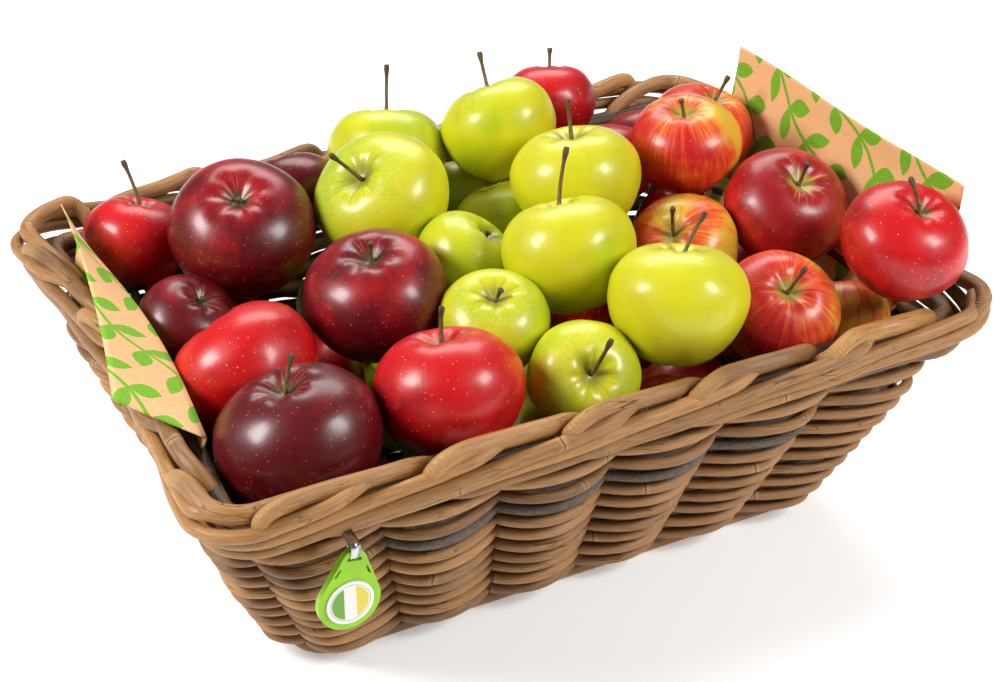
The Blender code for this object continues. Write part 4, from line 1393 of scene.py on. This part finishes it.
def make_stage():
    """White floor and pale surroundings."""
    mesh = bpy.data.meshes.new("floor")
    plan = ((-FLOOR_REACH, -FLOOR_REACH), (FLOOR_REACH, -FLOOR_REACH),
            (FLOOR_REACH, FLOOR_REACH), (-FLOOR_REACH, FLOOR_REACH))
    mesh.from_pydata([(x, y, FLOOR_LEVEL) for x, y in plan], [], [(0, 1, 2, 3)])
    floor = new_object("floor", mesh)
    material, tree = new_material("white studio floor")
    shader = tree.nodes["Principled BSDF"]
    shader.inputs["Base Color"].default_value = linear("EDEDED")
    shader.inputs["Roughness"].default_value = 0.9
    shader.inputs["Emission Color"].default_value = linear("FFFFFF")
    shader.inputs["Emission Strength"].default_value = 0.32
    mesh.materials.append(material)
    world = bpy.data.worlds.new("pale studio")
    world.use_nodes = True
    background = world.node_tree.nodes["Background"]
    background.inputs["Color"].default_value = linear("FFFFFF")
    background.inputs["Strength"].default_value = 0.12
    bpy.context.scene.world = world
    bpy.context.scene.view_settings.view_transform = "Standard"


# Camera, set so that the rim, base and tag fall where they do in the photograph
CAMERA_AZIMUTH = math.radians(-27.37)
CAMERA_ELEVATION = math.radians(31.95)
CAMERA_ROLL = math.radians(0.30)
CAMERA_PLACE = Vector((-0.4575, -0.8989, 0.7334))
CAMERA_LENS = 72


def camera_axes():
    """Right, up and back direction of the camera."""
    back = Vector((
        math.sin(CAMERA_AZIMUTH) * math.cos(CAMERA_ELEVATION),
        -math.cos(CAMERA_AZIMUTH) * math.cos(CAMERA_ELEVATION),
        math.sin(CAMERA_ELEVATION),
    ))
    right = Vector((math.cos(CAMERA_AZIMUTH), math.sin(CAMERA_AZIMUTH), 0))
    up = back.cross(right)
    cosine = math.cos(CAMERA_ROLL)
    sine = math.sin(CAMERA_ROLL)
    return cosine * right + sine * up, cosine * up - sine * right, back


def make_camera():
    right, up, back = camera_axes()
    data = bpy.data.cameras.new("photo view")
    data.lens = CAMERA_LENS
    data.sensor_width = 36
    data.clip_start = 0.05
    data.clip_end = 50
    camera = new_object("photo view", data)
    facing = Matrix((right, up, back)).transposed().to_4x4()
    camera.matrix_world = Matrix.Translation(CAMERA_PLACE) @ facing
    bpy.context.scene.camera = camera


# Lights: name, direction across, up and towards the camera, distance, width and height in metres, watts
SOFT_BOXES = (
    ("left soft box", -0.78, 0.36, 0.52, 1.5, 0.50, 0.55, 24),
    ("right soft box", 0.74, 0.32, 0.58, 1.5, 0.46, 0.52, 17),
    ("top light", 0.0, 1.0, -0.25, 1.7, 1.4, 0.8, 20),
)
HEAP_MIDDLE = Vector((0, -0.01, 0.17))


def soft_box(name, across, lift, toward, distance, width, height, power):
    """Rectangular light that shines on the heap from a direction given in the camera's axes."""
    right, up, back = camera_axes()
    direction = (across * right + lift * up + toward * back).normalized()
    data = bpy.data.lights.new(name, "AREA")
    data.shape = "RECTANGLE"
    data.size = width
    data.size_y = height
    data.energy = power
    light = new_object(name, data)
    facing = direction.to_track_quat("Z", "Y").to_matrix().to_4x4()
    light.matrix_world = Matrix.Translation(HEAP_MIDDLE + direction * distance) @ facing


def make_lights():
    for light in SOFT_BOXES:
        soft_box(*light)


def main():
    make_camera()
    make_lights()
    make_stage()
    rods = rod_tree()
    weathered = make_rattan("dried rattan rod", "BC8852", "744F2E", 330 * MM)
    # Darker copy of the rattan for the rods inside the wall and the base: painted shade
    shaded = make_rattan("inner rattan rod with painted shade", "7A5632", "3A2818", 300 * MM)
    peeled = make_rattan("oiled rattan stake", "B88348", "704C2B", 260 * MM)
    for piece, node, slot in (
        (make_weave(rods, weathered), "woven_tub", "weathered_rattan"),
        (make_stakes(rods, shaded), "woven_tub", "weathered_rattan"),
        (make_wale(rods, peeled), "wale_rods", "polished_rattan"),
        (make_border(rods, peeled), "rolled_border", "polished_rattan"),
        (make_foot(rods, peeled), "foot_rod", "polished_rattan"),
    ):
        hand_in(piece, slot, node)
    skins = {
        "crimson": make_red_skin("waxed crimson skin", "84080E", "C60E14", "F0A860", "6A5424", 0.76, 1.20),
        "burgundy": make_red_skin("waxed burgundy skin", "58040B", "A00A14", "D27068", "4E3C1A", 1.00, 1.44),
        "golden": make_golden_skin("yellow-green waxed skin"),
        "striped": make_striped_skin("striped waxed skin"),
    }
    make_apples(rods, make_stem_bark("dried fruit stalk"), skins)
    make_liners(make_kraft("printed kraft paper"))
    centre = tag_place() @ Vector((0, 0, FOB_CENTRE))
    make_tag(
        make_lime_plastic("lime moulded ABS"),
        make_label("laminated label", centre, LABEL_RADIUS),
        make_clip_steel("nickel-plated strip"),
    )


main()
